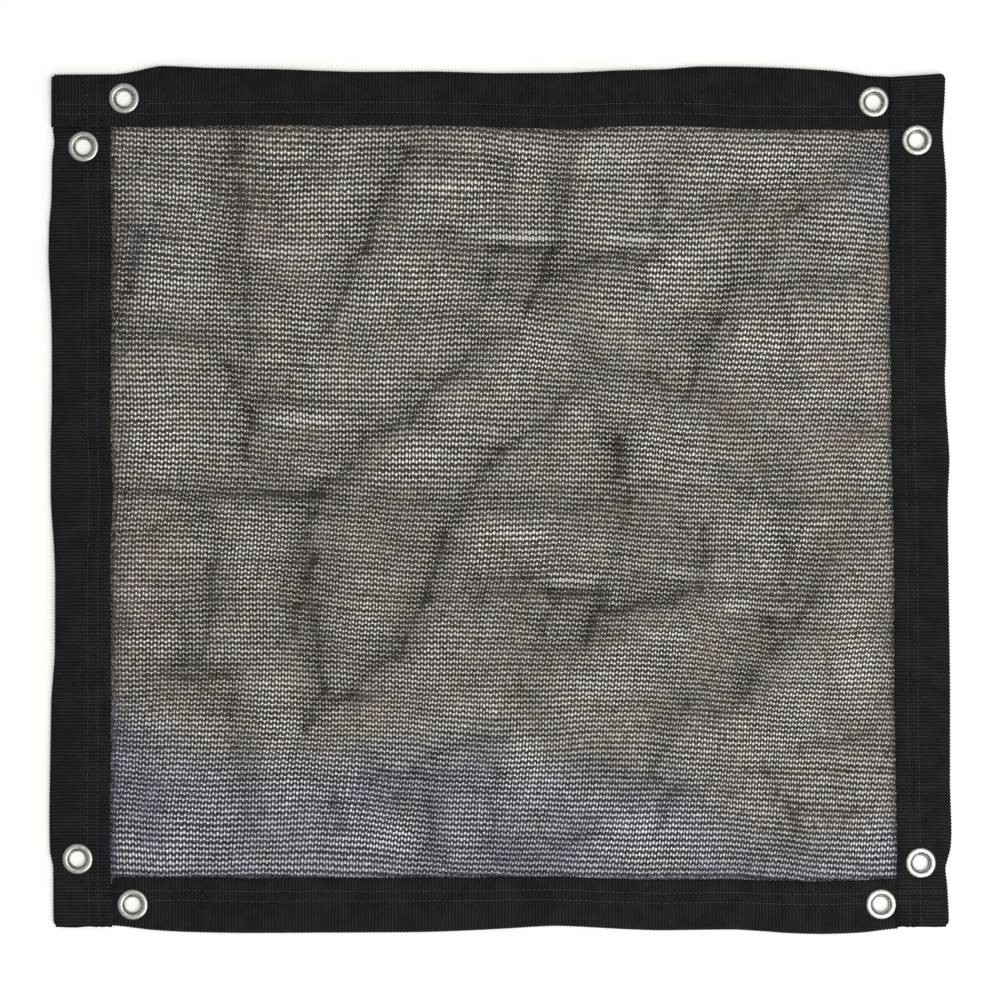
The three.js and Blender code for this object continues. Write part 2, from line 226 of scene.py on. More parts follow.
# Slow bends of the knit, one to a row: wave length, heading in degrees, phase, and how far the
# wave pushes the yarn along X and Y.
WARPS = (
    (230, 20, 0.4, 1.3, 1.8),
    (170, 75, 2.1, 1.2, -0.9),
    (118, 140, 4.0, 0.6, 0.6),
    (83, 50, 1.3, -0.4, 0.5),
    (61, 110, 5.2, 0.3, -0.35),
    (40, 10, 3.1, 0.2, 0.25),
)

# Courses pulled apart, one to a row: centre, half length and opening. Below them is how far up and
# down a pull reaches, how soon it opens, and how far it thins the yarn.
PULLS = (
    (92, 180, 15, 1.5),
    (11, 181, 27, 1.5),
    (-28, 216, 20, 1.0),
    (14, -24, 20, 0.8),
    (52, -54, 21, 1.4),
    (125, -52, 12, 1.2),
    (163, -73, 10, 1.0),
    (-124, 20, 14, 0.9),
    (-138, 55, 20, 0.9),
    (126, 165, 10, 0.9),
    (-159, 170, 22, 0.8),
)
PULL_REACH = 12.0
PULL_CORE = 5.0
PULL_THINS = 4.0

# Places where one hole of each pair has closed to a slit, one to a row: centre and radius. A
# place is wider than high by its flatness, and fades out beyond its core.
SLIT_ZONES = (
    (-185, 203, 34),
    (-20, 198, 36),
    (14, -33, 38),
    (150, -150, 36),
    (-90, -200, 34),
)
SLIT_FLATNESS = 1.2
SLIT_CORE = 0.5

# Places where the yarn lies wider or narrower, one to a row: centre, radius and share added. They
# are flat and fade out in the same way.
PACKED_ZONES = (
    (-162, 231, 66, 0.18),
    (-62, 241, 42, 0.1),
    (-15, 225, 40, 0.15),
    (-105, 236, 34, 0.06),
    (-83, 190, 40, 0.08),
    (-240, 182, 40, 0.1),
    (-62, 143, 34, 0.08),
    (-62, 8, 28, 0.08),
    (18, -36, 42, 0.1),
    (200, 112, 30, 0.07),
    (-240, -81, 36, 0.07),
    (74, 236, 38, -0.16),
    (69, 107, 58, -0.1),
    (118, 55, 46, -0.08),
    (209, 50, 42, -0.08),
    (74, -36, 34, -0.12),
    (119, -81, 42, -0.1),
    (-105, -81, 32, -0.1),
    (-165, -118, 44, -0.1),
    (74, -126, 44, -0.1),
    (220, -118, 64, -0.14),
    (-48, -169, 58, -0.1),
    (29, -171, 36, -0.1),
    (119, -171, 40, -0.12),
    (-60, -212, 40, -0.06),
)
PACKED_FLATNESS = 1.4
PACKED_CORE = 0.3

# Line along the lower part of the net, as X and Y, below which the yarn is painted with the
# light's bluish cast, and how far from it this painted cast begins and is complete.
TINT_LINE = (
    (-268, -146),
    (-207, -180),
    (-138, -184),
    (-34, -174),
    (14, -181),
    (69, -190),
    (125, -202),
    (165, -230),
    (207, -243),
    (245, -238),
    (270, -222),
)
TINT_BLEND = (-18, 24)
TINT_BELOW = 0.9

# Patches of the light's painted bluish cast, one to a row: centre, half width, half height, core
# and share of the tint. Each fades out from its core to its end, both as shares of its half width.
TINT_PATCHES = (
    (-236, 186, 34, 66, 0.5, 0.15),
    (255, 214, 22, 30, 0.4, 0.35),
)
TINT_PATCH_END = 1.3

# Folds of the net, one to a row: it runs from x1, y1 over a bend at x2, y2 to x3, y3, with its
# rise over the floor and its half width.
FOLDS = (
    (-183, 256, -179, 207, -172, 107, 5, 9),
    (-60, 241, -89, 179, -117, 124, 6.5, 9),
    (-256, 220, -253, 148, -263, 117, 4.5, 8),
    (-258, 114, -207, 112, -179, 86, 4, 9),
    (-157, 76, -167, 58, -175, 31, 6, 9),
    (0, 110, -51, 72, -111, 13, 5, 10),
    (57, 84, -13, 17, -41, -36, 5.5, 10),
    (-41, -36, -58, -87, -103, -138, 6.5, 9),
    (-263, 7, -117, 3, 14, -6, 4.5, 8),
    (14, -6, 73, -4, 104, 0, 4.5, 10),
    (200, 0, 235, -1, 266, 0, 3, 9),
    (-48, 174, 33, 172, 27, 146, 6, 9),
    (31, 153, 87, 165, 114, 207, 5, 9),
    (33, 172, 42, 214, 50, 248, 3, 9),
    (254, 234, 200, 198, 149, 202, 4, 9),
    (197, 172, 162, 147, 131, 74, 5, 9),
    (207, 148, 235, 149, 263, 151, 3, 10),
    (43, 134, 69, 93, 131, 72, 4, 11),
    (131, 72, 197, 43, 256, 51, 4, 11),
    (82, 42, 82, 31, 81, 19, 8, 8),
    (-13, -64, 69, -64, 64, -91, 6, 9),
    (69, -80, 121, -71, 144, -35, 5, 9),
    (-131, -11, -132, -62, -124, -131, 5, 10),
    (-198, -52, -203, -97, -219, -116, 6, 9),
    (-248, -116, -214, -120, -186, -122, 4, 9),
    (232, -33, 204, -83, 169, -131, 5, 10),
    (18, -145, 56, -183, 104, -192, 4, 11),
    (0, -162, -38, -180, -72, -204, 4, 11),
    (56, -231, 31, -242, 4, -247, 4, 9),
    (131, -142, 114, -162, 105, -190, 3.5, 10),
    (-48, -207, -47, -228, -46, -250, 4, 9),
    (-247, -176, -243, -200, -240, -231, 4, 10),
    (-185, -142, -176, -180, -169, -228, 3, 10),
)

# How sharply two folds that meet keep to the higher one.
FOLD_MERGE = 4

# Sharp creases, one to a row: each runs from x1, y1 over a bend at x2, y2 to x3, y3, with how
# tightly it gathers the knit.
CREASES = (
    (-182, 252, -183, 244, -183, 236, 1.0),
    (-181, 217, -176, 196, -189, 153, 0.7),
    (-174, 169, -174, 138, -172, 103, 0.5),
    (-65, 241, -79, 214, -94, 172, 1.0),
    (-102, 165, -107, 138, -120, 117, 0.7),
    (-58, 231, -72, 179, -79, 145, 0.25),
    (7, 231, 4, 196, -1, 176, 0.35),
    (0, 174, -3, 164, -9, 150, 1.0),
    (-9, 145, -13, 133, -17, 120, 0.3),
    (51, 248, 45, 210, 39, 176, 0.6),
    (39, 176, 33, 158, 21, 131, 1.0),
    (-34, 172, 0, 174, 38, 171, 0.55),
    (35, 156, 52, 158, 83, 172, 0.8),
    (111, 214, 111, 186, 97, 148, 0.6),
    (131, 196, 152, 203, 169, 214, 0.4),
    (176, 207, 159, 151, 149, 124, 0.5),
    (149, 124, 138, 103, 130, 72, 0.8),
    (256, 227, 235, 217, 207, 200, 0.4),
    (207, 200, 190, 189, 183, 169, 0.7),
    (156, 148, 183, 148, 242, 153, 0.6),
    (195, 141, 200, 117, 204, 86, 0.35),
    (42, 117, 69, 96, 104, 82, 0.25),
    (104, 82, 131, 70, 152, 60, 0.4),
    (152, 60, 180, 48, 242, 55, 0.25),
    (-265, 114, -207, 110, -138, 103, 0.4),
    (-187, 91, -186, 86, -184, 81, 0.9),
    (-172, 62, -174, 46, -175, 31, 1.1),
    (-162, 70, -117, 69, -96, 58, 0.45),
    (-13, 107, -34, 89, -58, 60, 0.8),
    (-58, 60, -93, 42, -124, 3, 0.7),
    (52, 77, 31, 51, 0, 34, 0.9),
    (0, 34, -13, 20, -38, -24, 0.5),
    (-38, -24, -45, -49, -51, -69, 1.0),
    (-51, -69, -60, -80, -69, -107, 0.7),
    (-69, -107, -89, -118, -134, -158, 0.6),
    (-9, 19, -9, 17, -10, 13, 0.6),
    (-265, 7, -203, 2, -124, 2, 0.85),
    (-124, 2, -69, 0, -20, -4, 0.45),
    (4, -7, 35, -5, 69, -7, 0.6),
    (173, -2, 207, -2, 249, -2, 0.5),
    (-241, -21, -231, -14, -207, -11, 0.45),
    (-132, -7, -134, -31, -129, -42, 0.6),
    (-129, -42, -132, -49, -133, -56, 0.9),
    (-141, -73, -141, -82, -141, -90, 0.8),
    (-127, -76, -125, -97, -122, -131, 0.8),
    (-122, -131, -127, -142, -134, -156, 0.7),
    (-196, -38, -200, -90, -207, -111, 0.8),
    (-218, -56, -217, -97, -217, -121, 0.35),
    (-227, -121, -207, -122, -186, -121, 0.45),
    (-185, -125, -182, -173, -172, -228, 0.5),
    (31, -64, 52, -64, 73, -64, 0.9),
    (-13, -64, 10, -64, 31, -64, 0.4),
    (90, 3, 78, -35, 71, -62, 0.6),
    (71, -62, 68, -76, 58, -100, 1.0),
    (38, -66, 33, -83, 28, -97, 0.8),
    (73, -78, 97, -71, 125, -64, 0.8),
    (142, -21, 140, -49, 138, -62, 0.7),
    (180, 27, 190, 0, 200, -35, 0.5),
    (200, -35, 197, -62, 187, -83, 0.5),
    (183, -83, 195, -83, 207, -83, 0.9),
    (228, -31, 225, -52, 207, -83, 0.7),
    (190, -97, 176, -118, 166, -138, 0.6),
    (221, -93, 229, -114, 231, -128, 0.4),
    (21, -159, 42, -173, 69, -183, 0.2),
    (69, -183, 104, -192, 138, -204, 0.25),
    (131, -142, 118, -159, 104, -192, 0.6),
    (125, -194, 114, -214, 106, -231, 0.6),
    (0, -166, -27, -166, -44, -176, 0.5),
    (-44, -176, -65, -190, -89, -193, 0.5),
    (-48, -207, -48, -225, -48, -242, 0.7),
    (-3, -187, -5, -214, -7, -242, 0.45),
    (-114, -204, -112, -214, -110, -225, 0.7),
    (14, -231, 42, -238, 62, -231, 0.45),
    (200, -216, 228, -217, 256, -216, 0.6),
    (207, -171, 231, -167, 256, -162, 0.4),
    (183, -187, 187, -194, 190, -200, 0.6),
    (200, -207, 202, -218, 204, -228, 0.6),
    (-248, 186, -252, 165, -256, 148, 0.9),
    (-256, 148, -260, 138, -263, 127, 0.6),
    (83, 42, 82, 31, 81, 19, 1.6),
    (86, 38, 86, 31, 85, 23, 1.2),
)

# Creases: reach of the crease itself and of the strip beside it, the most that each counts, how
# far the knit is drawn in, its rise, and how its lines waver. Fullness and shade are what the
# crease and the strip beside it each add to the yarn's width and take from its lightness.
CREASE_REACH = 4.8
CREASE_BORDER = 17.0
CREASE_MOST = (1.3, 2)
CREASE_GATHER = 0.15
CREASE_FULLNESS = (0.08, 0.055)
CREASE_SHADE = (0.24, 0.12)
CREASE_RISE = 0.8
CREASE_WOBBLE = 1.7
CREASE_WOBBLE_LENGTHS = (31, 37)

# Net: its slow swells, its middle's height in the webbing's fold and away from it, how far it
# reaches under the webbing, and its bands, each with its flat width and length in metres.
SWELL_RISE = 0.7
SWELL_LENGTHS = (172, 134)
SWELL_PHASE = 1
NET_EDGE_BLEND = 20.0
NET_EDGE_MIDDLE = 2.1
NET_FREE_MIDDLE = 0.6
NET_MARGIN = 3.0
NET_BANDS = 5

# Rings of a course from wale to wale, and of a wale's leg from course to course.
COURSE_RINGS = 4
LEG_RINGS = 2

# Sides of a bar of yarn or of a stitch.
YARN_SIDES = 3


def smoothstep(value: np.ndarray, low: float, high: float) -> np.ndarray:
    """A soft step from 0 at low to 1 at high.

    Args:
        value: where the step is taken.
        low: where it leaves 0.
        high: where it reaches 1.

    Returns:
        The step's height at each value.
    """
    t = np.clip((value - low) / (high - low), 0, 1)
    return t * t * (3 - 2 * t)


def to_bent_line(
    x: np.ndarray, y: np.ndarray, corners: list[float]
) -> tuple[np.ndarray, np.ndarray]:
    """The way from each point to the nearest place on a line with one bend.

    Args:
        x: the points' X.
        y: the points' Y.
        corners: X and Y of the line's start, its bend and its end.

    Returns:
        How far to go along X and along Y.
    """
    x1, y1, x2, y2, x3, y3 = corners
    ways = []
    for ax, ay, bx, by in ((x1, y1, x2, y2), (x2, y2, x3, y3)):
        along = (x - ax) * (bx - ax) + (y - ay) * (by - ay)
        t = np.clip(along / ((bx - ax) ** 2 + (by - ay) ** 2), 0, 1)
        ways.append((ax + t * (bx - ax) - x, ay + t * (by - ay) - y))
    (first_x, first_y), (second_x, second_y) = ways
    first = np.hypot(first_x, first_y) < np.hypot(second_x, second_y)
    return np.where(first, first_x, second_x), np.where(first, first_y, second_y)


def in_zone(
    x: np.ndarray, y: np.ndarray, zone: list[float], flatness: float, core: float
) -> np.ndarray:
    """How deep each point lies in an oval zone, from 0 at its rim to 1 in its core.

    Args:
        x: the points' X.
        y: the points' Y.
        zone: its centre and its radius along X.
        flatness: how many times wider than high it is.
        core: how large its core is, as a share of the whole.

    Returns:
        The depths.
    """
    middle_x, middle_y, radius = zone
    reach = np.hypot(x - middle_x, (y - middle_y) * flatness)
    return 1 - smoothstep(reach, core * radius, radius)


def by_pull(off_x: np.ndarray, off_y: np.ndarray, half: float, reach: float) -> np.ndarray:
    """How strongly a pulled course acts at a point.

    Args:
        off_x: how far along X the point is from its centre.
        off_y: how far along Y.
        half: the pulled course's half length.
        reach: how far it acts across it.

    Returns:
        The strength, from 1 at its centre to 0.
    """
    return np.exp(-((off_x / half) ** 4) - (off_y / reach) ** 2)


def vertex_points(mesh: bpy.types.Mesh) -> np.ndarray:
    """The places of the mesh's vertices, one to a row.

    Args:
        mesh: the mesh that is read.

    Returns:
        X, Y and Z of each vertex, in the mesh's own units.
    """
    at = np.empty(len(mesh.vertices) * 3, np.float32)
    mesh.vertices.foreach_get("co", at)
    return at.reshape(-1, 3).astype(float)


def new_mesh(name: str, shape: bmesh.types.BMesh) -> bpy.types.Mesh:
    """Makes a mesh of a shape.

    Args:
        name: the mesh's name.
        shape: the shape, which is used up.

    Returns:
        The mesh.
    """
    mesh = bpy.data.meshes.new(name)
    shape.to_mesh(mesh)
    shape.free()
    return mesh


def new_object(name: str, data: bpy.types.ID) -> bpy.types.Object:
    """Makes an object and links it to the scene.

    Args:
        name: the object's name.
        data: its mesh, light or camera.

    Returns:
        The object.
    """
    obj = bpy.data.objects.new(name, data)
    bpy.context.scene.collection.objects.link(obj)
    return obj


def baked(obj: bpy.types.Object) -> bpy.types.Mesh:
    """Makes a new mesh of an object with its modifiers applied.

    Args:
        obj: the object, which stays as it is.

    Returns:
        The mesh.
    """
    bpy.context.view_layer.update()
    graph = bpy.context.evaluated_depsgraph_get()
    return bpy.data.meshes.new_from_object(obj.evaluated_get(graph))


def repeated(mesh: bpy.types.Mesh, copies: int, pitch: float) -> bpy.types.Mesh:
    """Repeats a mesh along X with an Array modifier.

    Args:
        mesh: the shape to repeat, which is used up.
        copies: how many there are in the end.
        pitch: how far apart they stand.

    Returns:
        The mesh of them all.
    """
    holder = new_object("holder", mesh)
    array = holder.modifiers.new("array", "ARRAY")
    array.count = copies
    array.use_relative_offset = False
    array.use_constant_offset = True
    array.constant_offset_displace = (pitch, 0, 0)
    result = baked(holder)
    bpy.data.objects.remove(holder)
    bpy.data.meshes.remove(mesh)
    return result


def set_attribute(mesh: bpy.types.Mesh, name: str, values: np.ndarray) -> None:
    """Gives the mesh's vertices a number each, which materials read by its name."""
    attribute = mesh.attributes.new(name, "FLOAT", "POINT")
    attribute.data.foreach_set("value", values.astype(np.float32))


class Track:
    """One smooth curve through a list of places and values, which never overshoots them."""

    def __init__(self, at: np.ndarray, values: np.ndarray) -> None:
        """Works out the curve's slopes: level wherever the values have a peak or a dip.

        Args:
            at: the places, rising.
            values: the value at each.
        """
        self.at = np.asarray(at, float)
        self.values = np.asarray(values, float)
        steps = np.diff(self.values) / np.diff(self.at)
        product = steps[:-1] * steps[1:]
        total = np.where(product > 0, steps[:-1] + steps[1:], 1.0)
        self.slopes = np.zeros(len(self.at))
        self.slopes[1:-1] = np.where(product > 0, 2 * product / total, 0.0)

    def __call__(self, where: np.ndarray) -> np.ndarray:
        """Reads the curve, which is level beyond its ends.

        Args:
            where: the places.

        Returns:
            Its value at each.
        """
        where = np.clip(where, self.at[0], self.at[-1])
        k = np.clip(np.searchsorted(self.at, where, side="right") - 1, 0, len(self.at) - 2)
        span = self.at[k + 1] - self.at[k]
        t = (where - self.at[k]) / span
        start = self.values[k] * (1 + 2 * t) * (1 - t) ** 2
        end = self.values[k + 1] * t**2 * (3 - 2 * t)
        lean = self.slopes[k] * t * (1 - t) ** 2 + self.slopes[k + 1] * t**2 * (t - 1)
        return start + end + lean * span


class Side(Enum):
    """Which side of the net a border strip is sewn to."""

    RIGHT = "right"
    TOP = "top"
    LEFT = "left"
    BOTTOM = "bottom"

    @property
    def along_x(self) -> bool:
        """Whether the strip runs along X."""
        return self in (Side.TOP, Side.BOTTOM)

    @property
    def outward(self) -> float:
        """Which way the strip's folded edge faces, as the sign of X or Y."""
        return 1.0 if self in (Side.TOP, Side.RIGHT) else -1.0

    @property
    def ends(self) -> tuple[Side, Side]:
        """The sides that this one meets at its low and its high end."""
        return (Side.LEFT, Side.RIGHT) if self.along_x else (Side.BOTTOM, Side.TOP)

    @property
    def tucked(self) -> tuple[bool, bool]:
        """Whether the strip's low and its high end are tucked into the neighbour's fold."""
        return self is Side.BOTTOM, self is not Side.RIGHT


@dataclass(frozen=True)
class StripPlan:
    """Where a border strip lies: its fold, its open edge and its lift off the floor."""

    side: Side
    start: float
    end: float
    outer: Track
    inner: Track
    lift: Track

    @classmethod
    def from_frame(cls, side: Side) -> StripPlan:
        """Reads a strip's place from the sections of its solid.

        Args:
            side: the side of the net that it is on.

        Returns:
            The strip's plan.
        """
        points = vertex_points(bpy.data.objects[f"border_{side.value}"].data) / MM
        along, across = (0, 1) if side.along_x else (1, 0)
        places = points[:, along].round(3)
        rows = []
        for at in np.unique(places):
            section = points[places == at]
            reach = section[:, across] * side.outward
            if reach.max() - reach.min() > STRIP_SECTION * WEBBING_WIDTH:
                rows.append((at, reach.max(), reach.min(), section[:, 2].min()))
        at, outer, inner, lift = np.array(rows).T
        outer, inner = outer * side.outward, inner * side.outward
        return cls(side, at[0], at[-1], Track(at, outer), Track(at, inner), Track(at, lift))

    def across(self, at: np.ndarray, from_fold: np.ndarray) -> np.ndarray:
        """X or Y of a point that lies so far from the fold, the open edge following its own line.

        Args:
            at: places along the strip.
            from_fold: distances from the fold in the plain section.

        Returns:
            The places across the net.
        """
        by_outer = self.outer(at) - self.side.outward * from_fold
        by_inner = self.inner(at) + self.side.outward * (WEBBING_WIDTH - from_fold)
        share = smoothstep(from_fold, *STRIP_BLEND)
        return by_outer * (1 - share) + by_inner * share

    def points(self, at: np.ndarray, from_fold: np.ndarray, up: np.ndarray) -> np.ndarray:
        """Points of the strip as rows of x, y, z.

        Args:
            at: places along the strip.
            from_fold: distances from the fold.
            up: heights over the strip's own underside.

        Returns:
            The points.
        """
        across = self.across(at, from_fold)
        height = up + self.lift(at)
        columns = (at, across, height) if self.side.along_x else (across, at, height)
        return np.stack(columns, axis=-1)

    def from_fold(self, x: np.ndarray, y: np.ndarray) -> tuple[np.ndarray, np.ndarray]:
        """How far along the strip a point lies, and how far from its fold.

        Args:
            x: the point's X.
            y: the point's Y.

        Returns:
            The place along the strip and the distance from the fold.
        """
        at, across = (x, y) if self.side.along_x else (y, x)
        outer, inner = self.outer(at), self.inner(at)
        return at, WEBBING_WIDTH * (outer - across) / (outer - inner)


@dataclass(frozen=True)
class EyeletPlace:
    """Where an eyelet sits, read from its solid."""

    node: str
    x: float
    y: float

    @classmethod
    def from_frame(cls, node: str) -> EyeletPlace:
        """Reads an eyelet's place from its solid.

        Args:
            node: the solid's name.

        Returns:
            The place.
        """
        low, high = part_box(node)
        middle = (low + high) / 2 / MM
        return cls(node, middle.x, middle.y)


@dataclass(frozen=True)
class Border:
    """The four strips and eight eyelets together, for what lies on or beside them."""

    plans: tuple[StripPlan, ...]
    eyelets: tuple[EyeletPlace, ...]

    @classmethod
    def from_frame(cls, frame: dict) -> Border:
        """Reads every strip and eyelet from the frame.

        Args:
            frame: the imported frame.

        Returns:
            The border.
        """
        plans = tuple(StripPlan.from_frame(side) for side in Side)
        names = sorted(name for name in frame["nodes"] if name.startswith("eyelet"))
        return cls(plans, tuple(EyeletPlace.from_frame(name) for name in names))

    def plan(self, side: Side) -> StripPlan:
        """The plan of one side's strip."""
        return next(plan for plan in self.plans if plan.side is side)

    def to_eyelet(self, x: np.ndarray, y: np.ndarray) -> np.ndarray:
        """Distance from each point to the centre of the nearest eyelet."""
        gaps = [np.hypot(x - place.x, y - place.y) for place in self.eyelets]
        return np.min(gaps, axis=0)

    def squeeze(self, x: np.ndarray, y: np.ndarray, up: np.ndarray) -> np.ndarray:
        """Heights in the webbing once the eyelets are clinched and pinch it thin.

        Args:
            x: the points' X.
            y: the points' Y.
            up: their heights in webbing that nothing pinches.

        Returns:
            Their new heights.
        """
        free = smoothstep(self.to_eyelet(x, y), EYELET_RADIUS, DIMPLE_RADIUS)
        middle = WEBBING_THICKNESS / 2
        return middle + (up - middle) * (DIMPLE_SQUEEZE + (1 - DIMPLE_SQUEEZE) * free)

    def top(self, x: np.ndarray, y: np.ndarray) -> np.ndarray:
        """Height of the webbing's upper face, where a strip that laps another counts first.

        Args:
            x: the points' X.
            y: the points' Y.

        Returns:
            The heights.
        """
        height = np.full(np.shape(x), WEBBING_THICKNESS)
        outline = np.array(SECTION)[TOP_POINTS]
        for plan in reversed(self.plans):
            at, from_fold = plan.from_fold(x, y)
            up = np.interp(from_fold, outline[:, 0], outline[:, 1])
            held = (at >= plan.start) & (at <= plan.end)
            held &= (from_fold >= 0) & (from_fold <= WEBBING_WIDTH)
            height = np.where(held, self.squeeze(x, y, up) + plan.lift(at), height)
        return height


@dataclass(frozen=True)
class NetSurface:
    """The height of the net's middle over the floor, and how far inside the border a point is."""

    border: Border

    def edge(self, x: np.ndarray, y: np.ndarray) -> tuple[np.ndarray, np.ndarray]:
        """How far a point lies inside the nearest strip's open edge, and that strip's lift.

        Args:
            x: the points' X.
            y: the points' Y.

        Returns:
            The distances, and the lifts.
        """
        inside, lift = [], []
        for plan in self.border.plans:
            at, across = (x, y) if plan.side.along_x else (y, x)
            inside.append((plan.inner(at) - across) * plan.side.outward)
            lift.append(plan.lift(at))
        nearest = np.argmin(inside, axis=0)[None]
        return (
            np.take_along_axis(np.array(inside), nearest, 0)[0],
            np.take_along_axis(np.array(lift), nearest, 0)[0],
        )

    def folds(self, x: np.ndarray, y: np.ndarray) -> np.ndarray:
        """Rise of the folds over a point: soft ridges that die away from their bent lines.

        Args:
            x: the points' X.
            y: the points' Y.

        Returns:
            The rises.
        """
        total = np.zeros(np.shape(x))
        for *corners, rise, spread in FOLDS:
            gap = np.hypot(*to_bent_line(x, y, corners))
            total += (rise * np.exp(-((gap / spread) ** 2))) ** FOLD_MERGE
        return total ** (1 / FOLD_MERGE)

    def creases(self, x: np.ndarray, y: np.ndarray) -> tuple[np.ndarray, ...]:
        """How the sharp creases gather the knit at a point.

        Args:
            x: the points' X.
            y: the points' Y.

        Returns:
            How far the point is drawn along X and Y, how tight the crease is there, and how
            close it is.
        """
        turn_x, turn_y = (2 * math.pi / length for length in CREASE_WOBBLE_LENGTHS)
        x, y = x + CREASE_WOBBLE * np.sin(turn_x * y), y + CREASE_WOBBLE * np.sin(turn_y * x)
        drawn_x, drawn_y, tight, close = (np.zeros(np.shape(x)) for _ in range(4))
        for *corners, strength in CREASES:
            to_x, to_y = to_bent_line(x, y, corners)
            gap = to_x**2 + to_y**2
            near = strength * np.exp(-gap / CREASE_REACH**2)
            close += strength * np.exp(-gap / CREASE_BORDER**2)
            drawn_x += near * to_x
            drawn_y += near * to_y
            tight += near
        share = CREASE_GATHER / np.maximum(tight, 1)
        tight, close = np.minimum(tight, CREASE_MOST[0]), np.minimum(close, CREASE_MOST[1])
        return drawn_x * share, drawn_y * share, tight, close

    def height(self, x: np.ndarray, y: np.ndarray) -> np.ndarray:
        """Height of the net's middle: level in the webbing's fold, free away from it.

        Args:
            x: the points' X.
            y: the points' Y.

        Returns:
            The heights.
        """
        inside, lift = self.edge(x, y)
        wave_x = np.sin(2 * math.pi * x / SWELL_LENGTHS[0] + SWELL_PHASE)
        wave_y = np.sin(2 * math.pi * y / SWELL_LENGTHS[1])
        swell = SWELL_RISE * (1 + wave_x * wave_y)
        free = smoothstep(inside, 0, NET_EDGE_BLEND)
        crest = CREASE_RISE * self.creases(x, y)[2]
        level = NET_FREE_MIDDLE + swell + self.folds(x, y) + crest
        return (1 - free) * (NET_EDGE_MIDDLE + lift) + free * level

    def normal(self, x: np.ndarray, y: np.ndarray, step: float = 0.5) -> np.ndarray:
        """Upward normals of the net.

        Args:
            x: the points' X.
            y: the points' Y.
            step: how far apart the heights are taken.

        Returns:
            The normals, one to a point.
        """
        here = self.height(x, y)
        slope_x = (self.height(x + step, y) - here) / step
        slope_y = (self.height(x, y + step) - here) / step
        normal = np.stack((-slope_x, -slope_y, np.ones_like(here)), axis=-1)
        return normal / np.linalg.norm(normal, axis=-1, keepdims=True)


@dataclass
class Bars:
    """Straight bars standing side by side, whose vertices are moved to make a bent shape."""

    mesh: bpy.types.Mesh
    copy: np.ndarray
    ring: np.ndarray
    turn: np.ndarray
    sides: int

    @classmethod
    def create(cls, copies: int, rings: int, sides: int) -> Bars:
        """Makes the bars from one closed cylinder, cut into rings and repeated by an array.

        Args:
            copies: how many bars.
            rings: how many rings of vertices each has, its two ends included.
            sides: how many vertices each ring has.

        Returns:
            The bars.
        """
        steps = rings - 1
        shape = bmesh.new()
        bmesh.ops.create_cone(
            shape,
            cap_ends=True,
            cap_tris=False,
            segments=sides,
            radius1=1,
            radius2=1,
            depth=steps,
            matrix=Matrix.Translation((0, 0, steps / 2)),
        )
        upright = [e for e in shape.edges if abs(e.verts[0].co.z - e.verts[1].co.z) > steps / 2]
        if steps > 1:
            bmesh.ops.subdivide_edges(shape, edges=upright, cuts=steps - 1)
        mesh = new_mesh("bars", shape)
        pitch = 3.0
        if copies > 1:
            mesh = repeated(mesh, copies, pitch)
        at = vertex_points(mesh)
        copy = np.rint(at[:, 0] / pitch).astype(int)
        angle = np.arctan2(at[:, 0] - pitch * copy, at[:, 1])
        turn = np.rint(angle / (2 * math.pi / sides)).astype(int) % sides
        return cls(mesh, copy, np.rint(at[:, 2]).astype(int), turn, sides)

    def move(self, points: np.ndarray) -> None:
        """Moves every vertex to its point, given in millimetres."""
        self.mesh.vertices.foreach_set("co", (points * MM).astype(np.float32).ravel())

    def sweep(
        self,
        centres: np.ndarray,
        normals: np.ndarray,
        widths: np.ndarray,
        depths: np.ndarray,
    ) -> None:
        """Lays each bar along its own line of centres, its broad side along the normals.

        Args:
            centres: a point for each ring of each bar.
            normals: which way the bar's back faces there.
            widths: the bar's width there.
            depths: its thickness there.
        """
        tangents = np.gradient(centres, axis=1)
        beside = np.cross(normals, tangents)
        beside /= np.linalg.norm(beside, axis=-1, keepdims=True)
        angle = 2 * math.pi * self.turn / self.sides
        reach = math.sin(2 * math.pi * ((self.sides + 1) // 4) / self.sides)
        low = min(math.cos(2 * math.pi * k / self.sides) for k in range(self.sides))
        place = (self.copy, self.ring)
        off_side = np.sin(angle) / reach * widths[place] / 2
        off_back = (np.cos(angle) - (1 + low) / 2) / (1 - low) * depths[place]
        self.move(
            centres[place] + beside[place] * off_side[:, None] + normals[place] * off_back[:, None]
        )


class Piece:
    """One piece of the net, put together from meshes and then finished as one object."""

    def __init__(self, name: str) -> None:
        """Starts an empty piece of that name."""
        self.name = name
        self.shape = bmesh.new()

    def add(self, mesh: bpy.types.Mesh) -> None:
        """Adds a mesh to the piece and uses it up."""
        self.shape.from_mesh(mesh)
        bpy.data.meshes.remove(mesh)

    def finish(
        self,
        material: bpy.types.Material,
        slot: str,
        replaces: tuple[str, ...] = (),
        holes: Iterator[bpy.types.Object] | None = None,
    ) -> bpy.types.Object:
        """Makes the object, its faces outwards, and rides it on the net's one body.

        Args:
            material: what the piece is finished in.
            slot: the record's material slot; not used.
            replaces: the solids that it stands for.
            holes: objects cut out of it, which are used up.

        Returns:
            The finished object.
        """
        if self.shape.calc_volume(signed=True) < 0:
            bmesh.ops.reverse_faces(self.shape, faces=self.shape.faces)
        obj = new_object(self.name, new_mesh(self.name, self.shape))
        for hole in holes or ():
            cut = obj.modifiers.new("hole", "BOOLEAN")
            cut.operation = "DIFFERENCE"
            cut.solver = "EXACT"
            cut.object = hole
            obj.data = baked(obj)
            obj.modifiers.clear()
            bpy.data.objects.remove(hole)
        obj.data.name = self.name
        obj.data.shade_smooth()
        obj.data.materials.clear()
        obj.data.materials.append(material)
        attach(obj, "root")
        if replaces:
            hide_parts(*replaces)
        LOG.info("%s: %d faces", self.name, len(obj.data.polygons))
        return obj


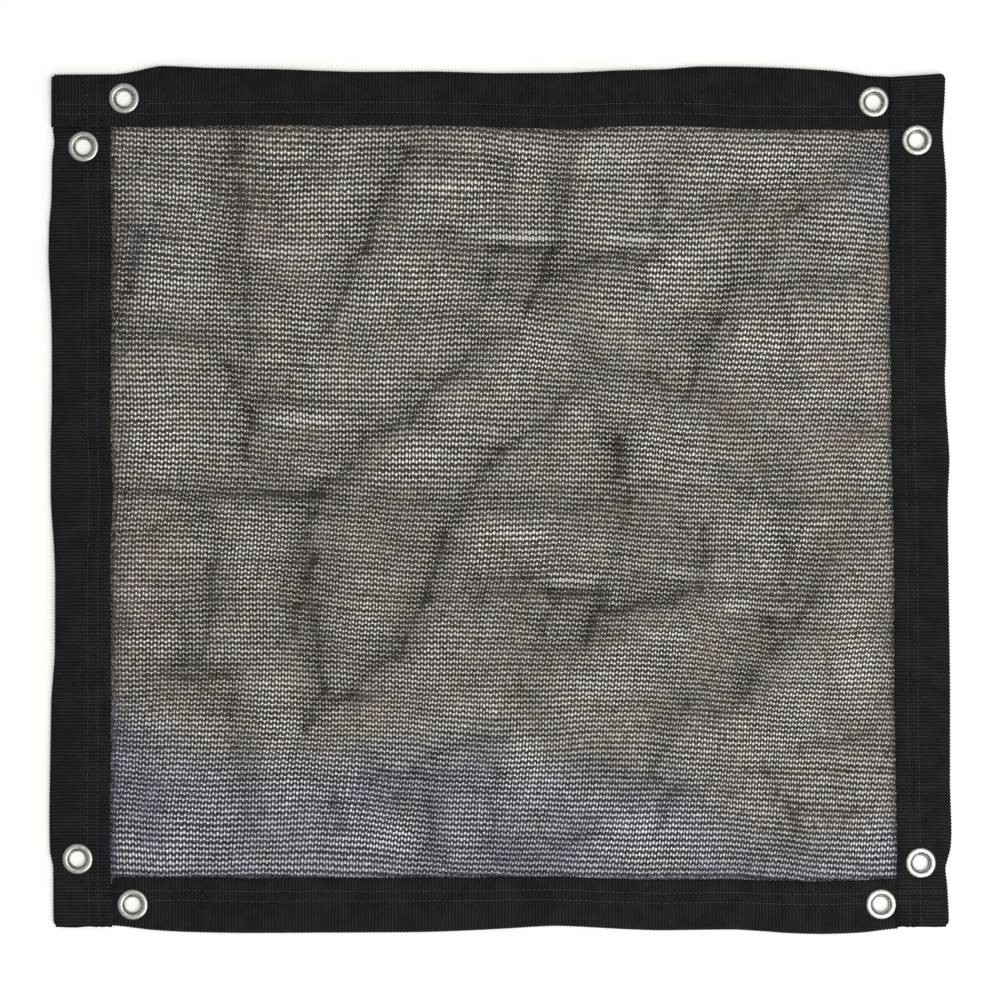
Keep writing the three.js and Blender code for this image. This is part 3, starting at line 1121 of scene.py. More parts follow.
def srgb(code: str) -> tuple[float, float, float, float]:
    """Turns an sRGB colour into a linear one.

    Args:
        code: its hex code, such as a0b1c2.

    Returns:
        Red, green, blue and a full alpha.
    """
    parts = [int(code[i : i + 2], 16) / 255 for i in (0, 2, 4)]
    linear = [p / 12.92 if p <= 0.04045 else ((p + 0.055) / 1.055) ** 2.4 for p in parts]
    return (*linear, 1.0)


def add_node(
    tree: bpy.types.NodeTree,
    kind: str,
    inputs: dict | tuple = (),
    out: int | str = 0,
    **settings: object,
) -> bpy.types.NodeSocket | None:
    """Adds a node with its settings, its values and its links.

    Args:
        tree: the material's or world's nodes.
        kind: the node's type, after the ShaderNode with which each begins.
        inputs: a value, or another node's output, for each input by name or number, or in order.
        out: which of its outputs is wanted.
        settings: the node's own properties.

    Returns:
        That output, or none where the node has no outputs.
    """
    node = tree.nodes.new(f"ShaderNode{kind}")
    for name, value in settings.items():
        setattr(node, name, value)
    for key, value in inputs.items() if isinstance(inputs, dict) else enumerate(inputs):
        if isinstance(value, bpy.types.NodeSocket):
            tree.links.new(value, node.inputs[key])
        else:
            node.inputs[key].default_value = value
    return node.outputs[out] if node.outputs else None


def grain(at: bpy.types.NodeSocket, size: float, detail: float = 2.0) -> dict:
    """What a noise texture is given, so that its grain is a real size.

    Args:
        at: the coordinates, in metres.
        size: the size of one grain in millimetres.
        detail: how many finer layers it has.

    Returns:
        The inputs by name.
    """
    return {"Vector": at, "Scale": 1 / (size * MM), "Detail": detail}


@dataclass(frozen=True)
class Finish:
    """A procedural material, whose nodes each kind of finish lays out in its own way.

    Strength and rise say how strongly and how many millimetres its pattern stands out. A pair
    whose name ends in from is the part of a pattern's range that is used, and to what it becomes.
    """

    name: str = "plain"
    roughness: float = 0.5
    strength: float = 0.5
    rise: float = 0.1

    def build(self) -> bpy.types.Material:
        """Makes the material, with one shader whose normals follow the fine relief.

        Returns:
            The material.
        """
        material = bpy.data.materials.new(self.name)
        material.use_nodes = True
        material.node_tree.nodes.clear()
        add = partial(add_node, material.node_tree)
        look, pattern = self.lay_out(add, add("TexCoord", out="Object"))
        relief = {"Height": pattern, "Strength": self.strength, "Distance": self.rise * MM}
        look = {"Roughness": self.roughness, **look, "Normal": add("Bump", relief)}
        add("OutputMaterial", {"Surface": add("BsdfPrincipled", look)})
        return material

    def lay_out(self, add: AddNode, at: bpy.types.NodeSocket) -> Layout:
        """Lays out the finish's own nodes.

        Args:
            add: adds a node to the material.
            at: the place on the object, in metres.

        Returns:
            The shader's inputs, and the pattern that stands out.
        """
        raise NotImplementedError


@dataclass(frozen=True)
class KnittedYarn(Finish):
    """fibrils along it. Its colour is painted with the light's cast, warm over most of it and
    bluish over the lower part, and its light attribute paints light and shade along it."""

    name: str = "knitted_polyethylene_yarn"
    roughness: float = 0.55
    strength: float = 0.35
    rise: float = 0.15
    warm_cast: str = "554c45"
    moss: str = "4f4b46"
    cool_cast: str = "434855"
    fibril: float = 0.8
    fleck: float = 1.6
    mottle: float = 15.0
    patch: float = 26.0
    fleck_weight: float = 3.0
    shade_from: Span = (1.5, 2.5)
    shade_to: Span = (0.4, 1.6)
    moss_from: Span = (0.42, 0.62)

    def lay_out(self, add: AddNode, at: bpy.types.NodeSocket) -> Layout:
        """Mixes the painted warm cast, greener yarn and the painted cool cast, lighter and darker
        at random from place to place, and times the painted light and shade of the light
        attribute.

        Args:
            add: adds a node to the material.
            at: the place on the object, in metres.

        Returns:
            The shader's inputs, and the fibrils that stand out.
        """
        patches = add("TexNoise", grain(at, self.patch))
        flecks = add("TexNoise", grain(at, self.fleck, detail=3.0))
        blend = add("Math", (flecks, self.fleck_weight, patches), operation="MULTIPLY_ADD")
        uneven = add("MapRange", (blend, *self.shade_from, *self.shade_to))
        mottle = add("TexNoise", grain(at, self.mottle))
        greener = add("MapRange", (mottle, *self.moss_from))
        earth = {"Factor": greener, 6: srgb(self.warm_cast), 7: srgb(self.moss)}
        # Painted bluish cast of the light, mostly over the lower part of the net.
        tint = add("Attribute", out="Fac", attribute_name="tint")
        tinted = {"Factor": tint, 6: add("Mix", earth, 2, data_type="RGBA"), 7: srgb(self.cool_cast)}
        colour = add("Mix", tinted, 2, data_type="RGBA")
        # Painted light and shade along the yarn: painted shade at crossings and in creases, a
        # painted highlight between them.
        light = add("Attribute", out="Fac", attribute_name="light")
        lit = add("Math", (uneven, light), operation="MULTIPLY")
        shaded = add("VectorMath", (colour, lit), operation="MULTIPLY")
        look = {"Base Color": shaded, "IOR": 1.5, "Specular IOR Level": 0.22}
        return look, add("TexNoise", grain(at, self.fibril, detail=3.0))


@dataclass(frozen=True)
class RibbedWebbing(Finish):
    """Black polypropylene webbing, woven with ribs across it: near black and matt, with painted
    shade in the grooves between its ribs and a painted highlight on the ribs, stronger where they
    are rubbed."""

    name: str = "ribbed_polypropylene_webbing"
    roughness: float = 0.75
    strength: float = 0.5
    rise: float = 0.2
    groove: str = "040405"
    rib: str = "2b2b2c"
    yarn_pitch: float = 1.2
    yarn_weight: float = 0.45
    rubbed_patch: float = 14.0
    rubbed_from: Span = (0.4, 0.6)
    rubbed_to: Span = (0.7, 1.4)
    fuzz: float = 0.9
    fuzz_weight: float = 1.6
    weave_shade_from: Span = (0.7, 2.3)

    def lay_out(self, add: AddNode, at: bpy.types.NodeSocket) -> Layout:
        """Crosses ribs with yarns, both a little fuzzy and unevenly rubbed, with painted shade in
        the grooves and a painted highlight on the ribs.

        Args:
            add: adds a node to the material.
            at: the place on the object, in metres.

        Returns:
            The shader's inputs, and the weave that stands out.
        """
        patches = add("TexNoise", grain(at, self.rubbed_patch))
        rubbed = add("MapRange", (patches, *self.rubbed_from, *self.rubbed_to))
        ribs = add("Math", (self.wave(add, "along", RIB_PITCH), rubbed), operation="MULTIPLY")
        yarns = self.wave(add, "across", self.yarn_pitch)
        weave = add("Math", (yarns, self.yarn_weight, ribs), operation="MULTIPLY_ADD")
        fuzz = add("TexNoise", grain(at, self.fuzz, detail=3.0))
        weave_shade_and_fuzz = add("Math", (fuzz, self.fuzz_weight, weave), operation="MULTIPLY_ADD")
        share = add("MapRange", (weave_shade_and_fuzz, *self.weave_shade_from))
        # Painted shade in the grooves between the ribs and a painted highlight on the ribs.
        blend = {"Factor": share, 6: srgb(self.groove), 7: srgb(self.rib)}
        colour = add("Mix", blend, 2, data_type="RGBA")
        return {"Base Color": colour, "IOR": 1.49, "Specular IOR Level": 0.14}, weave_shade_and_fuzz

    def wave(self, add: AddNode, way: str, pitch: float) -> bpy.types.NodeSocket:
        """A wave between 0 and 1 along one way of the cloth.

        Args:
            add: adds a node to the material.
            way: the attribute that holds the distance along the cloth, in millimetres.
            pitch: the distance from one crest to the next.

        Returns:
            The wave.
        """
        place = add("Attribute", out="Fac", attribute_name=way)
        turns = add("Math", (place, 2 * math.pi / pitch), operation="MULTIPLY")
        swing = add("Math", (turns,), operation="COSINE")
        return add("Math", (swing, 0.5, 0.5), operation="MULTIPLY_ADD")


@dataclass(frozen=True)
class SewingThread(Finish):
    """Black bonded polyester thread, smoother than the webbing: its colour is painted lighter as a
    painted sheen, so that it shows as short lighter dashes."""

    name: str = "bonded_polyester_thread"
    strength: float = 0.4
    colour: str = "4a4a50"
    ply: float = 0.5

    def lay_out(self, add: AddNode, at: bpy.types.NodeSocket) -> Layout:
        """Gives the thread one colour and a fine twist.

        Args:
            add: adds a node to the material.
            at: the place on the object, in metres.

        Returns:
            The shader's inputs, and the twist that stands out.
        """
        # The colour is a painted sheen, lighter than the black thread itself.
        look = {"Base Color": srgb(self.colour), "Specular IOR Level": 0.25}
        return look, add("TexNoise", grain(at, self.ply))


@dataclass(frozen=True)
class NickelPlate(Finish):
    """Nickel-plated brass, stamped and clinched: bright and slightly warm, with fine rubbed
    scratches, small dull spots, and painted shade in the groove round the bore and, lighter, in
    the bore."""

    name: str = "nickel_plated_brass"
    strength: float = 0.05
    rise: float = 0.05
    clean: str = "d5d2cc"
    dull: str = "9c968c"
    painted_shade: str = "2c2b28"
    spot: float = 2.6
    dull_from: Span = (0.48, 0.72)
    dull_to: Span = (0.0, 0.8)
    rough_from: Span = (0.3, 0.7)
    rough_to: Span = (0.3, 0.42)
    scratch: float = 0.6
    scratch_stretch: tuple[float, float, float] = (1.0, 6.0, 1.0)

    def lay_out(self, add: AddNode, at: bpy.types.NodeSocket) -> Layout:
        """Makes bright metal duller and rougher in spots, and darkens it with painted shade by its
        attribute.

        Args:
            add: adds a node to the material.
            at: the place on the object, in metres.

        Returns:
            The shader's inputs, and the scratches that stand out.
        """
        spots = add("TexNoise", grain(at, self.spot, detail=4.0))
        share = add("MapRange", (spots, *self.dull_from, *self.dull_to))
        plate = {"Factor": share, 6: srgb(self.clean), 7: srgb(self.dull)}
        # Painted shade in the groove round the bore and, lighter, in the bore.
        soiled = add("Attribute", out="Fac", attribute_name="soiled")
        plate_in_shade = {"Factor": soiled, 6: add("Mix", plate, 2, data_type="RGBA"), 7: srgb(self.painted_shade)}
        colour = add("Mix", plate_in_shade, 2, data_type="RGBA")
        rough = add("MapRange", (spots, *self.rough_from, *self.rough_to))
        stretched = add("Mapping", {"Vector": at, "Scale": self.scratch_stretch})
        look = {"Base Color": colour, "Metallic": 1.0, "Roughness": rough}
        return look, add("TexNoise", grain(stretched, self.scratch, detail=3.0))


@dataclass(frozen=True)
class PaleFloor(Finish):
    """A matt white board under the net, lit a little from within so that it stays pale."""

    name: str = "matt_white_board"
    roughness: float = 0.9
    strength: float = 0.05
    rise: float = 0.05
    colour: str = "f6f6f4"
    glow_colour: str = "fffcf6"
    glow: float = 0.37
    tooth: float = 3.0

    def lay_out(self, add: AddNode, at: bpy.types.NodeSocket) -> Layout:
        """Gives the board one pale colour, its glow and a faint tooth.

        Args:
            add: adds a node to the material.
            at: the place on the object, in metres.

        Returns:
            The shader's inputs, and the tooth that stands out.
        """
        look = {
            "Base Color": srgb(self.colour),
            "Emission Color": srgb(self.glow_colour),
            "Emission Strength": self.glow,
        }
        return look, add("TexNoise", grain(at, self.tooth))


def line_places(pitches: tuple[tuple[float, float], ...], reach: float) -> np.ndarray:
    """Places of a lattice's lines, each one local pitch from the last.

    Args:
        pitches: the pitch at a few places.
        reach: how far the lines go to either side of the middle.

    Returns:
        The places.
    """
    pitch = Track(*np.array(pitches, float).T)
    places = [-reach]
    while places[-1] < reach:
        places.append(places[-1] + float(pitch(places[-1])))
    return np.array(places)


def stretches(kept: np.ndarray, least: int) -> Iterator[tuple[int, int, int]]:
    """The unbroken stretches of each line that are kept.

    Args:
        kept: for each line and ring, whether it is kept.
        least: the fewest rings that make a bar.

    Yields:
        The line, the first ring and the number of rings.
    """
    for line, row in enumerate(kept):
        changes = np.flatnonzero(np.diff(np.concatenate(([0], row.astype(int), [0]))))
        for first, last in zip(changes[::2], changes[1::2], strict=True):
            if last - first >= least:
                yield line, int(first), int(last - first)


@dataclass
class Yarns:
    """Lines of yarn with their rings' centres, normals, widths, depths and painted light and
    shade.
    """

    centres: np.ndarray
    normals: np.ndarray
    widths: np.ndarray
    depths: np.ndarray
    lights: np.ndarray
    kept: np.ndarray

    def bars(self, lines: slice, rings: slice, least: int) -> Iterator[bpy.types.Mesh]:
        """Meshes of the yarns in part of the net, one for each length.

        Args:
            lines: which lines.
            rings: which of their rings.
            least: the fewest rings that make a bar.

        Yields:
            A mesh of all the bars of one length.
        """
        groups: dict[int, list[tuple[int, int]]] = {}
        for line, first, count in stretches(self.kept[lines, rings], least):
            groups.setdefault(count, []).append((line, first))
        whole = (self.centres, self.normals, self.widths, self.depths, self.lights)
        for count, members in sorted(groups.items()):
            line, first = np.array(members).T[..., None]
            ring = first + np.arange(count)
            *laid, lights = (values[lines, rings][line, ring] for values in whole)
            bars = Bars.create(len(members), count, YARN_SIDES)
            bars.sweep(*laid)
            set_attribute(bars.mesh, "light", lights[bars.copy, bars.ring])
            yield bars.mesh


@dataclass
class Knit:
    """The knitted mesh: level courses that zigzag between upright wales, two legs to a wale.

    A waist is the yarn's width between two crossings, thinning the share that it loses where
    courses are pulled 1 mm apart, a spread the share by which it varies, and a wander how far it
    strays. A fullness is a share that is added to its width, and a blend is where that fades out.
    """

    surface: NetSurface
    course_width: float = 2.19
    course_waist: float = 1.69
    course_depth: float = 0.9
    course_thinning: float = 0.2
    course_spread: float = 0.12
    course_wander: float = 0.06
    zigzag: float = 0.76
    zigzag_spread: float = 0.2
    streak: float = 0.09
    streak_length: int = 40
    leg_width: float = 1.26
    leg_waist: float = 0.94
    leg_depth: float = 0.7
    leg_thinning: float = 0.34
    leg_spread: float = 0.2
    leg_range: Span = (0.6, 1.6)
    leg_wander: float = 0.12
    leg_over: float = 0.4
    leg_sag: float = 0.25
    slit_shift: float = 0.04
    floor_gap: float = 0.02
    fold_fullness: float = 0.06
    fold_height: float = 5.0
    right_fullness: float = -0.045
    upper_fullness: float = 0.04
    left_fullness: float = 0.14
    left_blend: Span = (-266.0, -250.0)
    sewn_fullness: float = 0.5
    sewn_blend: Span = (0.5, 4.0)
    # Painted shade at the crossings, a painted highlight between them on courses and legs, and how
    # that varies at random.
    crossing_painted_shade: float = 0.22
    course_painted_highlight: float = 2.2
    leg_painted_highlight: float = 3.6
    light_spread: float = 0.25
    light_range: Span = (0.3, 2.0)
    seed: int = 11

    @cached_property
    def wales(self) -> np.ndarray:
        """Places of the wales along X before the knit is bent."""
        return line_places(WALE_PITCH, LATTICE_REACH)

    @cached_property
    def courses(self) -> np.ndarray:
        """Places of the courses along Y before the knit is bent."""
        return line_places(COURSE_PITCH, LATTICE_REACH)

    def plane(self, wale: np.ndarray, course: np.ndarray) -> tuple[np.ndarray, np.ndarray]:
        """Where a point of the knit lies on the floor plan.

        Args:
            wale: its place in wales, with a fraction between two.
            course: its place in courses.

        Returns:
            Its X and Y.
        """
        x0 = np.interp(wale, np.arange(len(self.wales)), self.wales)
        y0 = np.interp(course, np.arange(len(self.courses)), self.courses)
        x = x0 + WALE_LEAN * y0 + WALE_FAN * x0 * y0
        y = y0 - COURSE_TILT * x0
        bent_x, bent_y = x, y
        for length, heading, phase, push_x, push_y in WARPS:
            turn = math.radians(heading)
            along = x * math.cos(turn) + y * math.sin(turn)
            wave = np.sin(2 * math.pi * along / length + phase)
            bent_x = bent_x + push_x * wave
            bent_y = bent_y + push_y * wave
        for pull_x, pull_y, half, opening in PULLS:
            off = bent_y - pull_y
            near = by_pull(bent_x - pull_x, off, half, PULL_REACH)
            bent_y = bent_y + opening / 2 * np.tanh(off / PULL_CORE) * near
        drawn_x, drawn_y, *_ = self.surface.creases(bent_x, bent_y)
        return bent_x + drawn_x, bent_y + drawn_y

    def thinned(self, x: np.ndarray, y: np.ndarray, most: float) -> np.ndarray:
        """How much narrower the yarn is where courses are pulled apart, from 1 down.

        Args:
            x: the points' X.
            y: the points' Y.
            most: the share that is lost where courses are pulled 1 mm apart.

        Returns:
            The share of its width that the yarn keeps.
        """
        share = np.ones(np.shape(x))
        for pull_x, pull_y, half, opening in PULLS:
            near = by_pull(x - pull_x, y - pull_y, half, PULL_THINS)
            share = share - most * opening * near
        return share

    def fullness(self, x: np.ndarray, y: np.ndarray, most: float) -> np.ndarray:
        """How wide the yarn lies: fuller in creases, on folds, in packed places, at the left edge
        and under the sewn edge, and narrower where courses are pulled apart.

        Args:
            x: the points' X.
            y: the points' Y.
            most: the share that is lost where courses are pulled 1 mm apart.

        Returns:
            The yarn's width as a share of its plain one.
        """
        rise = np.clip(self.surface.folds(x, y) / self.fold_height, 0, 1)
        folded = 1 + self.fold_fullness * rise
        _, _, tight, close = self.surface.creases(x, y)
        creased = 1 + CREASE_FULLNESS[0] * tight + CREASE_FULLNESS[1] * close
        slope = 1 + self.right_fullness * x / OPENING[0] + self.upper_fullness * y / OPENING[1]
        edge = 1 + self.left_fullness * (1 - smoothstep(x, *self.left_blend))
        inside, _ = self.surface.edge(x, y)
        sewn = 1 + self.sewn_fullness * (1 - smoothstep(inside, *self.sewn_blend))
        packed = np.ones(np.shape(x))
        for *zone, share in PACKED_ZONES:
            packed = packed + share * in_zone(x, y, zone, PACKED_FLATNESS, PACKED_CORE)
        return folded * creased * slope * edge * sewn * packed * self.thinned(x, y, most)

    def lightness(
        self, crossing: np.ndarray, between: float, x: np.ndarray, y: np.ndarray
    ) -> np.ndarray:
        """How light the yarn is painted: painted shade at its knotted crossings and in creases, a
        painted highlight between.

        Args:
            crossing: 1 at a crossing and 0 half-way to the next.
            between: the lightness half-way.
            x: the points' X.
            y: the points' Y.

        Returns:
            The yarn's lightness as a share of its plain one.
        """
        rng = np.random.default_rng(self.seed + 2)
        plain = between + (self.crossing_painted_shade - between) * crossing
        _, _, tight, close = self.surface.creases(x, y)
        creased = 1 - CREASE_SHADE[0] * tight - CREASE_SHADE[1] * close
        uneven = (1 + rng.normal(0, self.light_spread, x.shape)).clip(*self.light_range)
        return plain * creased * uneven

    def slits(self, x: np.ndarray, y: np.ndarray) -> np.ndarray:
        """How far every second hole has closed.

        Args:
            x: the points' X.
            y: the points' Y.

        Returns:
            The share, from 0 where it is open to 1 where it is a slit.
        """
        closed = np.zeros(np.shape(x))
        for zone in SLIT_ZONES:
            closed = np.maximum(closed, in_zone(x, y, zone, SLIT_FLATNESS, SLIT_CORE))
        return closed

    def course_yarns(self) -> Yarns:
        """Lays the courses, with a ring at each crossing and at the middle of each hole.

        Returns:
            The courses, one to a line.
        """
        rng = np.random.default_rng(self.seed)
        wale = np.arange(COURSE_RINGS * (len(self.wales) - 1) + 1)[None] / COURSE_RINGS
        course = np.arange(len(self.courses))[:, None]
        x, y = self.plane(*np.broadcast_arrays(wale, course + 0.0))
        size = x.shape
        swing = self.zigzag * (1 + rng.normal(0, self.zigzag_spread, size))
        wander = rng.normal(0, self.course_wander, size)
        y = y + swing * np.sin(2 * math.pi * wale) + wander
        at_wale = np.abs(np.cos(2 * math.pi * wale))
        plain = self.course_waist + (self.course_width - self.course_waist) * at_wale
        knots = rng.normal(0, self.streak, (size[0], size[1] // self.streak_length + 2))
        at = np.arange(size[1]) / self.streak_length
        streaks = np.array([Track(np.arange(knots.shape[1]), row)(at) for row in knots])
        uneven = 1 + streaks + rng.normal(0, self.course_spread, size)
        widths = plain * self.fullness(x, y, self.course_thinning) * uneven
        lights = self.lightness(at_wale, self.course_painted_highlight, x, y)
        return self.laid(x, y, np.zeros(size), widths, self.course_depth, lights)

    def leg_yarns(self) -> Yarns:
        """Lays the legs of the wales, with a ring on each course and half-way between two.

        Returns:
            The legs, one to a line.
        """
        rng = np.random.default_rng(self.seed + 1)
        legs = np.arange(2 * len(self.wales) - 2)[:, None]
        course = np.arange(LEG_RINGS * (len(self.courses) - 1) + 1)[None] / LEG_RINGS
        wale, course = np.broadcast_arrays(legs / 2, course)
        side = np.where(legs % 2 == 0, -1.0, 1.0)
        x, y = self.plane(wale, course)
        x, y = self.plane(wale + side * self.slit_shift * self.slits(x, y), course)
        size = x.shape
        x = x + rng.normal(0, self.leg_wander, size)
        crossing = course == np.rint(course)
        over = np.where((legs + np.rint(course)) % 2 == 0, 1.0, -1.0)
        lift = np.where(crossing, self.leg_over * over, -self.leg_sag)
        plain = np.where(crossing, self.leg_width, self.leg_waist)
        uneven = (1 + rng.normal(0, self.leg_spread, size)).clip(*self.leg_range)
        widths = plain * self.fullness(x, y, self.leg_thinning) * uneven
        lights = self.lightness(crossing * 1.0, self.leg_painted_highlight, x, y)
        return self.laid(x, y, lift, widths, self.leg_depth, lights)

    def laid(
        self,
        x: np.ndarray,
        y: np.ndarray,
        lift: np.ndarray,
        widths: np.ndarray,
        depth: float,
        lights: np.ndarray,
    ) -> Yarns:
        """Lays lines of yarn on the net's folds.

        Args:
            x: X of each ring of each line.
            y: Y of each.
            lift: how far each stands over the net's middle.
            widths: the yarn's widths.
            depth: its thickness.
            lights: its painted light and shade.

        Returns:
            The yarns.
        """
        normals = self.surface.normal(x, y)
        middle = np.stack((x, y, self.surface.height(x, y)), axis=-1)
        centres = middle + normals * lift[..., None]
        centres[..., 2] = np.maximum(centres[..., 2], depth / 2 + self.floor_gap)
        kept = self.surface.edge(x, y)[0] > -NET_MARGIN
        return Yarns(centres, normals, widths, np.full(x.shape, depth), lights, kept)


@dataclass
class NetPanel:
    """The net, in a few bands of courses that together look like one cloth. No bar of a course or
    leg has fewer rings than its least."""

    knit: Knit
    finish: KnittedYarn
    course_least: int = 5
    leg_least: int = 3

    def tint(self, x: np.ndarray, y: np.ndarray) -> np.ndarray:
        """How much of the light's painted bluish cast the yarn gets: below a wavy line, and in
        patches near the upper corners.

        Args:
            x: the points' X.
            y: the points' Y.

        Returns:
            The share of the cool colour.
        """
        line = Track(*np.array(TINT_LINE, float).T)
        share = TINT_BELOW * (1 - smoothstep(y - line(x), *TINT_BLEND))
        for middle_x, middle_y, half_x, half_y, core, most in TINT_PATCHES:
            reach = np.hypot((x - middle_x) / half_x, (y - middle_y) / half_y)
            share = share + most * (1 - smoothstep(reach, core, TINT_PATCH_END))
        return np.clip(share, 0, 1)

    def build(self) -> None:
        """Builds the bands of the net."""
        material = self.finish.build()
        courses, legs = self.knit.course_yarns(), self.knit.leg_yarns()
        shown = np.flatnonzero(courses.kept.any(axis=1))
        cuts = np.linspace(shown[0], shown[-1] + 1, NET_BANDS + 1).round().astype(int)
        for k, (low, high) in enumerate(pairwise(cuts)):
            piece = Piece(f"net_band_{k + 1}")
            below = max(low - 1, 0) if k == 0 else low
            above = high + 1 if k == NET_BANDS - 1 else high
            held = slice(LEG_RINGS * below, LEG_RINGS * above + 1)
            level = courses.bars(slice(low, high), slice(None), self.course_least)
            for mesh in chain(level, legs.bars(slice(None), held, self.leg_least)):
                piece.add(mesh)
            obj = piece.finish(material, "knitted_net", ("net_panel",))
            x, y, _ = vertex_points(obj.data).T / MM
            # Share of the light's painted bluish cast, which the yarn's material reads.
            set_attribute(obj.data, "tint", self.tint(x, y))


@dataclass
class BorderStrip:
    """One strip of webbing, folded over the net's edge and sewn through.

    Its ribs stand out further along the fold's rim. A tucked end is pressed thin and narrowed, so
    that it fits in its neighbour's fold.
    """

    border: Border
    plan: StripPlan
    fold_rim: float = 1.5
    fold_ribs: float = 2.2
    fray: float = 0.45
    tuck_reach: float = 6.0
    tuck_blend: float = 5.0
    tuck_margin: float = 0.5
    tuck_taper: float = 2.0
    tuck_lift: float = 1.35
    tuck_thinning: float = 3.0
    tuck_inset: float = 3.0
    tuck_width: float = 25.0
    slant: float = 2.2
    slant_reach: float = 25.0
    punch_radius: float = 7.4
    punch_depth: float = 30.0
    punch_sides: int = 32
    seed: int = 5

    def stations(self) -> np.ndarray:
        """Places of the rings along the strip, two to a rib, past each tucked end.

        Returns:
            The places.
        """
        low, high = self.plan.side.tucked
        start = self.plan.start - (self.tuck_reach if low else 0)
        end = self.plan.end + (self.tuck_reach if high else 0)
        return np.linspace(start, end, round((end - start) / (RIB_PITCH / 2)) + 1)

    def tucked_share(self, at: np.ndarray, before: float, after: float) -> np.ndarray:
        """How far a place is into a tucked end.

        Args:
            at: places along the strip.
            before: how far before the strip's end it begins.
            after: how far past the strip's end it is complete.

        Returns:
            The shares, 0 along the strip and 1 in the neighbour's fold.
        """
        low, high = self.plan.side.tucked
        past = [np.full(np.shape(at), -math.inf)]
        if low:
            past.append(self.plan.start - at)
        if high:
            past.append(at - self.plan.end)
        return smoothstep(np.max(past, axis=0), -before, after)

    def build(self, material: bpy.types.Material) -> None:
        """Builds the strip.

        Args:
            material: the webbing's material.
        """
        at = self.stations()
        outline = np.array(SECTION)
        bars = Bars.create(1, len(at), len(SECTION))
        place = at[bars.ring]
        from_fold, up = outline[bars.turn].T
        outside = bars.turn < OUTSIDE_POINTS
        rib = np.where(bars.ring % 2 == 0, RIB_RISE, -RIB_RISE) * outside
        up = up + np.where(up > WEBBING_THICKNESS / 2, rib, np.abs(rib) - rib)
        from_fold = from_fold - np.where(from_fold < self.fold_rim, self.fold_ribs * rib, 0)
        pressed = self.tucked_share(place, self.tuck_blend, -self.tuck_margin)
        up = up * (1 - pressed) + (self.tuck_lift + up / self.tuck_thinning) * pressed
        narrow = self.tucked_share(place, 0, self.tuck_taper)
        tucked = self.tuck_inset + from_fold * self.tuck_width / WEBBING_WIDTH
        from_fold = from_fold * (1 - narrow) + tucked * narrow
        ends = self.slanted(self.frayed(place, bars), from_fold)
        points = self.plan.points(ends, from_fold, up)
        height = self.border.squeeze(points[:, 0], points[:, 1], up)
        points[:, 2] += height - up
        bars.move(points)
        lengths = np.cumsum(np.linalg.norm(np.diff(outline, axis=0, prepend=outline[:1]), axis=1))
        set_attribute(bars.mesh, "along", place)
        set_attribute(bars.mesh, "across", lengths[bars.turn])
        name = self.plan.side.value
        piece = Piece(f"webbing_{name}")
        piece.add(bars.mesh)
        obj = piece.finish(material, "webbing", (f"border_{name}",), self.holes())

    def slanted(self, place: np.ndarray, from_fold: np.ndarray) -> np.ndarray:
        """Places along the strip once the right one's upper end is cut a little aslant.

        Args:
            place: the places of the vertices.
            from_fold: their distances from the fold.

        Returns:
            The new places.
        """
        if self.plan.side is not Side.RIGHT:
            return place
        near_end = smoothstep(place, self.plan.end - self.slant_reach, self.plan.end)
        return place - self.slant * near_end * from_fold / WEBBING_WIDTH

    def frayed(self, place: np.ndarray, bars: Bars) -> np.ndarray:
        """Places along the strip once its cut ends are a little ragged.

        Args:
            place: the places of the vertices.
            bars: the bars they belong to.

        Returns:
            The new places.
        """
        rng = np.random.default_rng(self.seed + len(self.plan.side.value))
        ragged = rng.uniform(-self.fray, self.fray, bars.sides)
        last = bars.ring.max()
        ends = (bars.ring <= 1) | (bars.ring >= last - 1)
        return place + np.where(ends, ragged[bars.turn], 0)

    def holes(self) -> Iterator[bpy.types.Object]:
        """Makes what punches the round holes for this strip's eyelets.

        Yields:
            An upright cylinder for each hole.
        """
        for eyelet in self.border.eyelets:
            at, from_fold = self.plan.from_fold(eyelet.x, eyelet.y)
            on_strip = self.plan.start < at < self.plan.end
            if not (on_strip and 0 < from_fold < WEBBING_WIDTH):
                continue
            shape = bmesh.new()
            bmesh.ops.create_cone(
                shape,
                cap_ends=True,
                segments=self.punch_sides,
                radius1=self.punch_radius * MM,
                radius2=self.punch_radius * MM,
                depth=self.punch_depth * MM,
                matrix=Matrix.Translation((eyelet.x * MM, eyelet.y * MM, 0)),
            )
            yield new_object("punch", new_mesh("punch", shape))


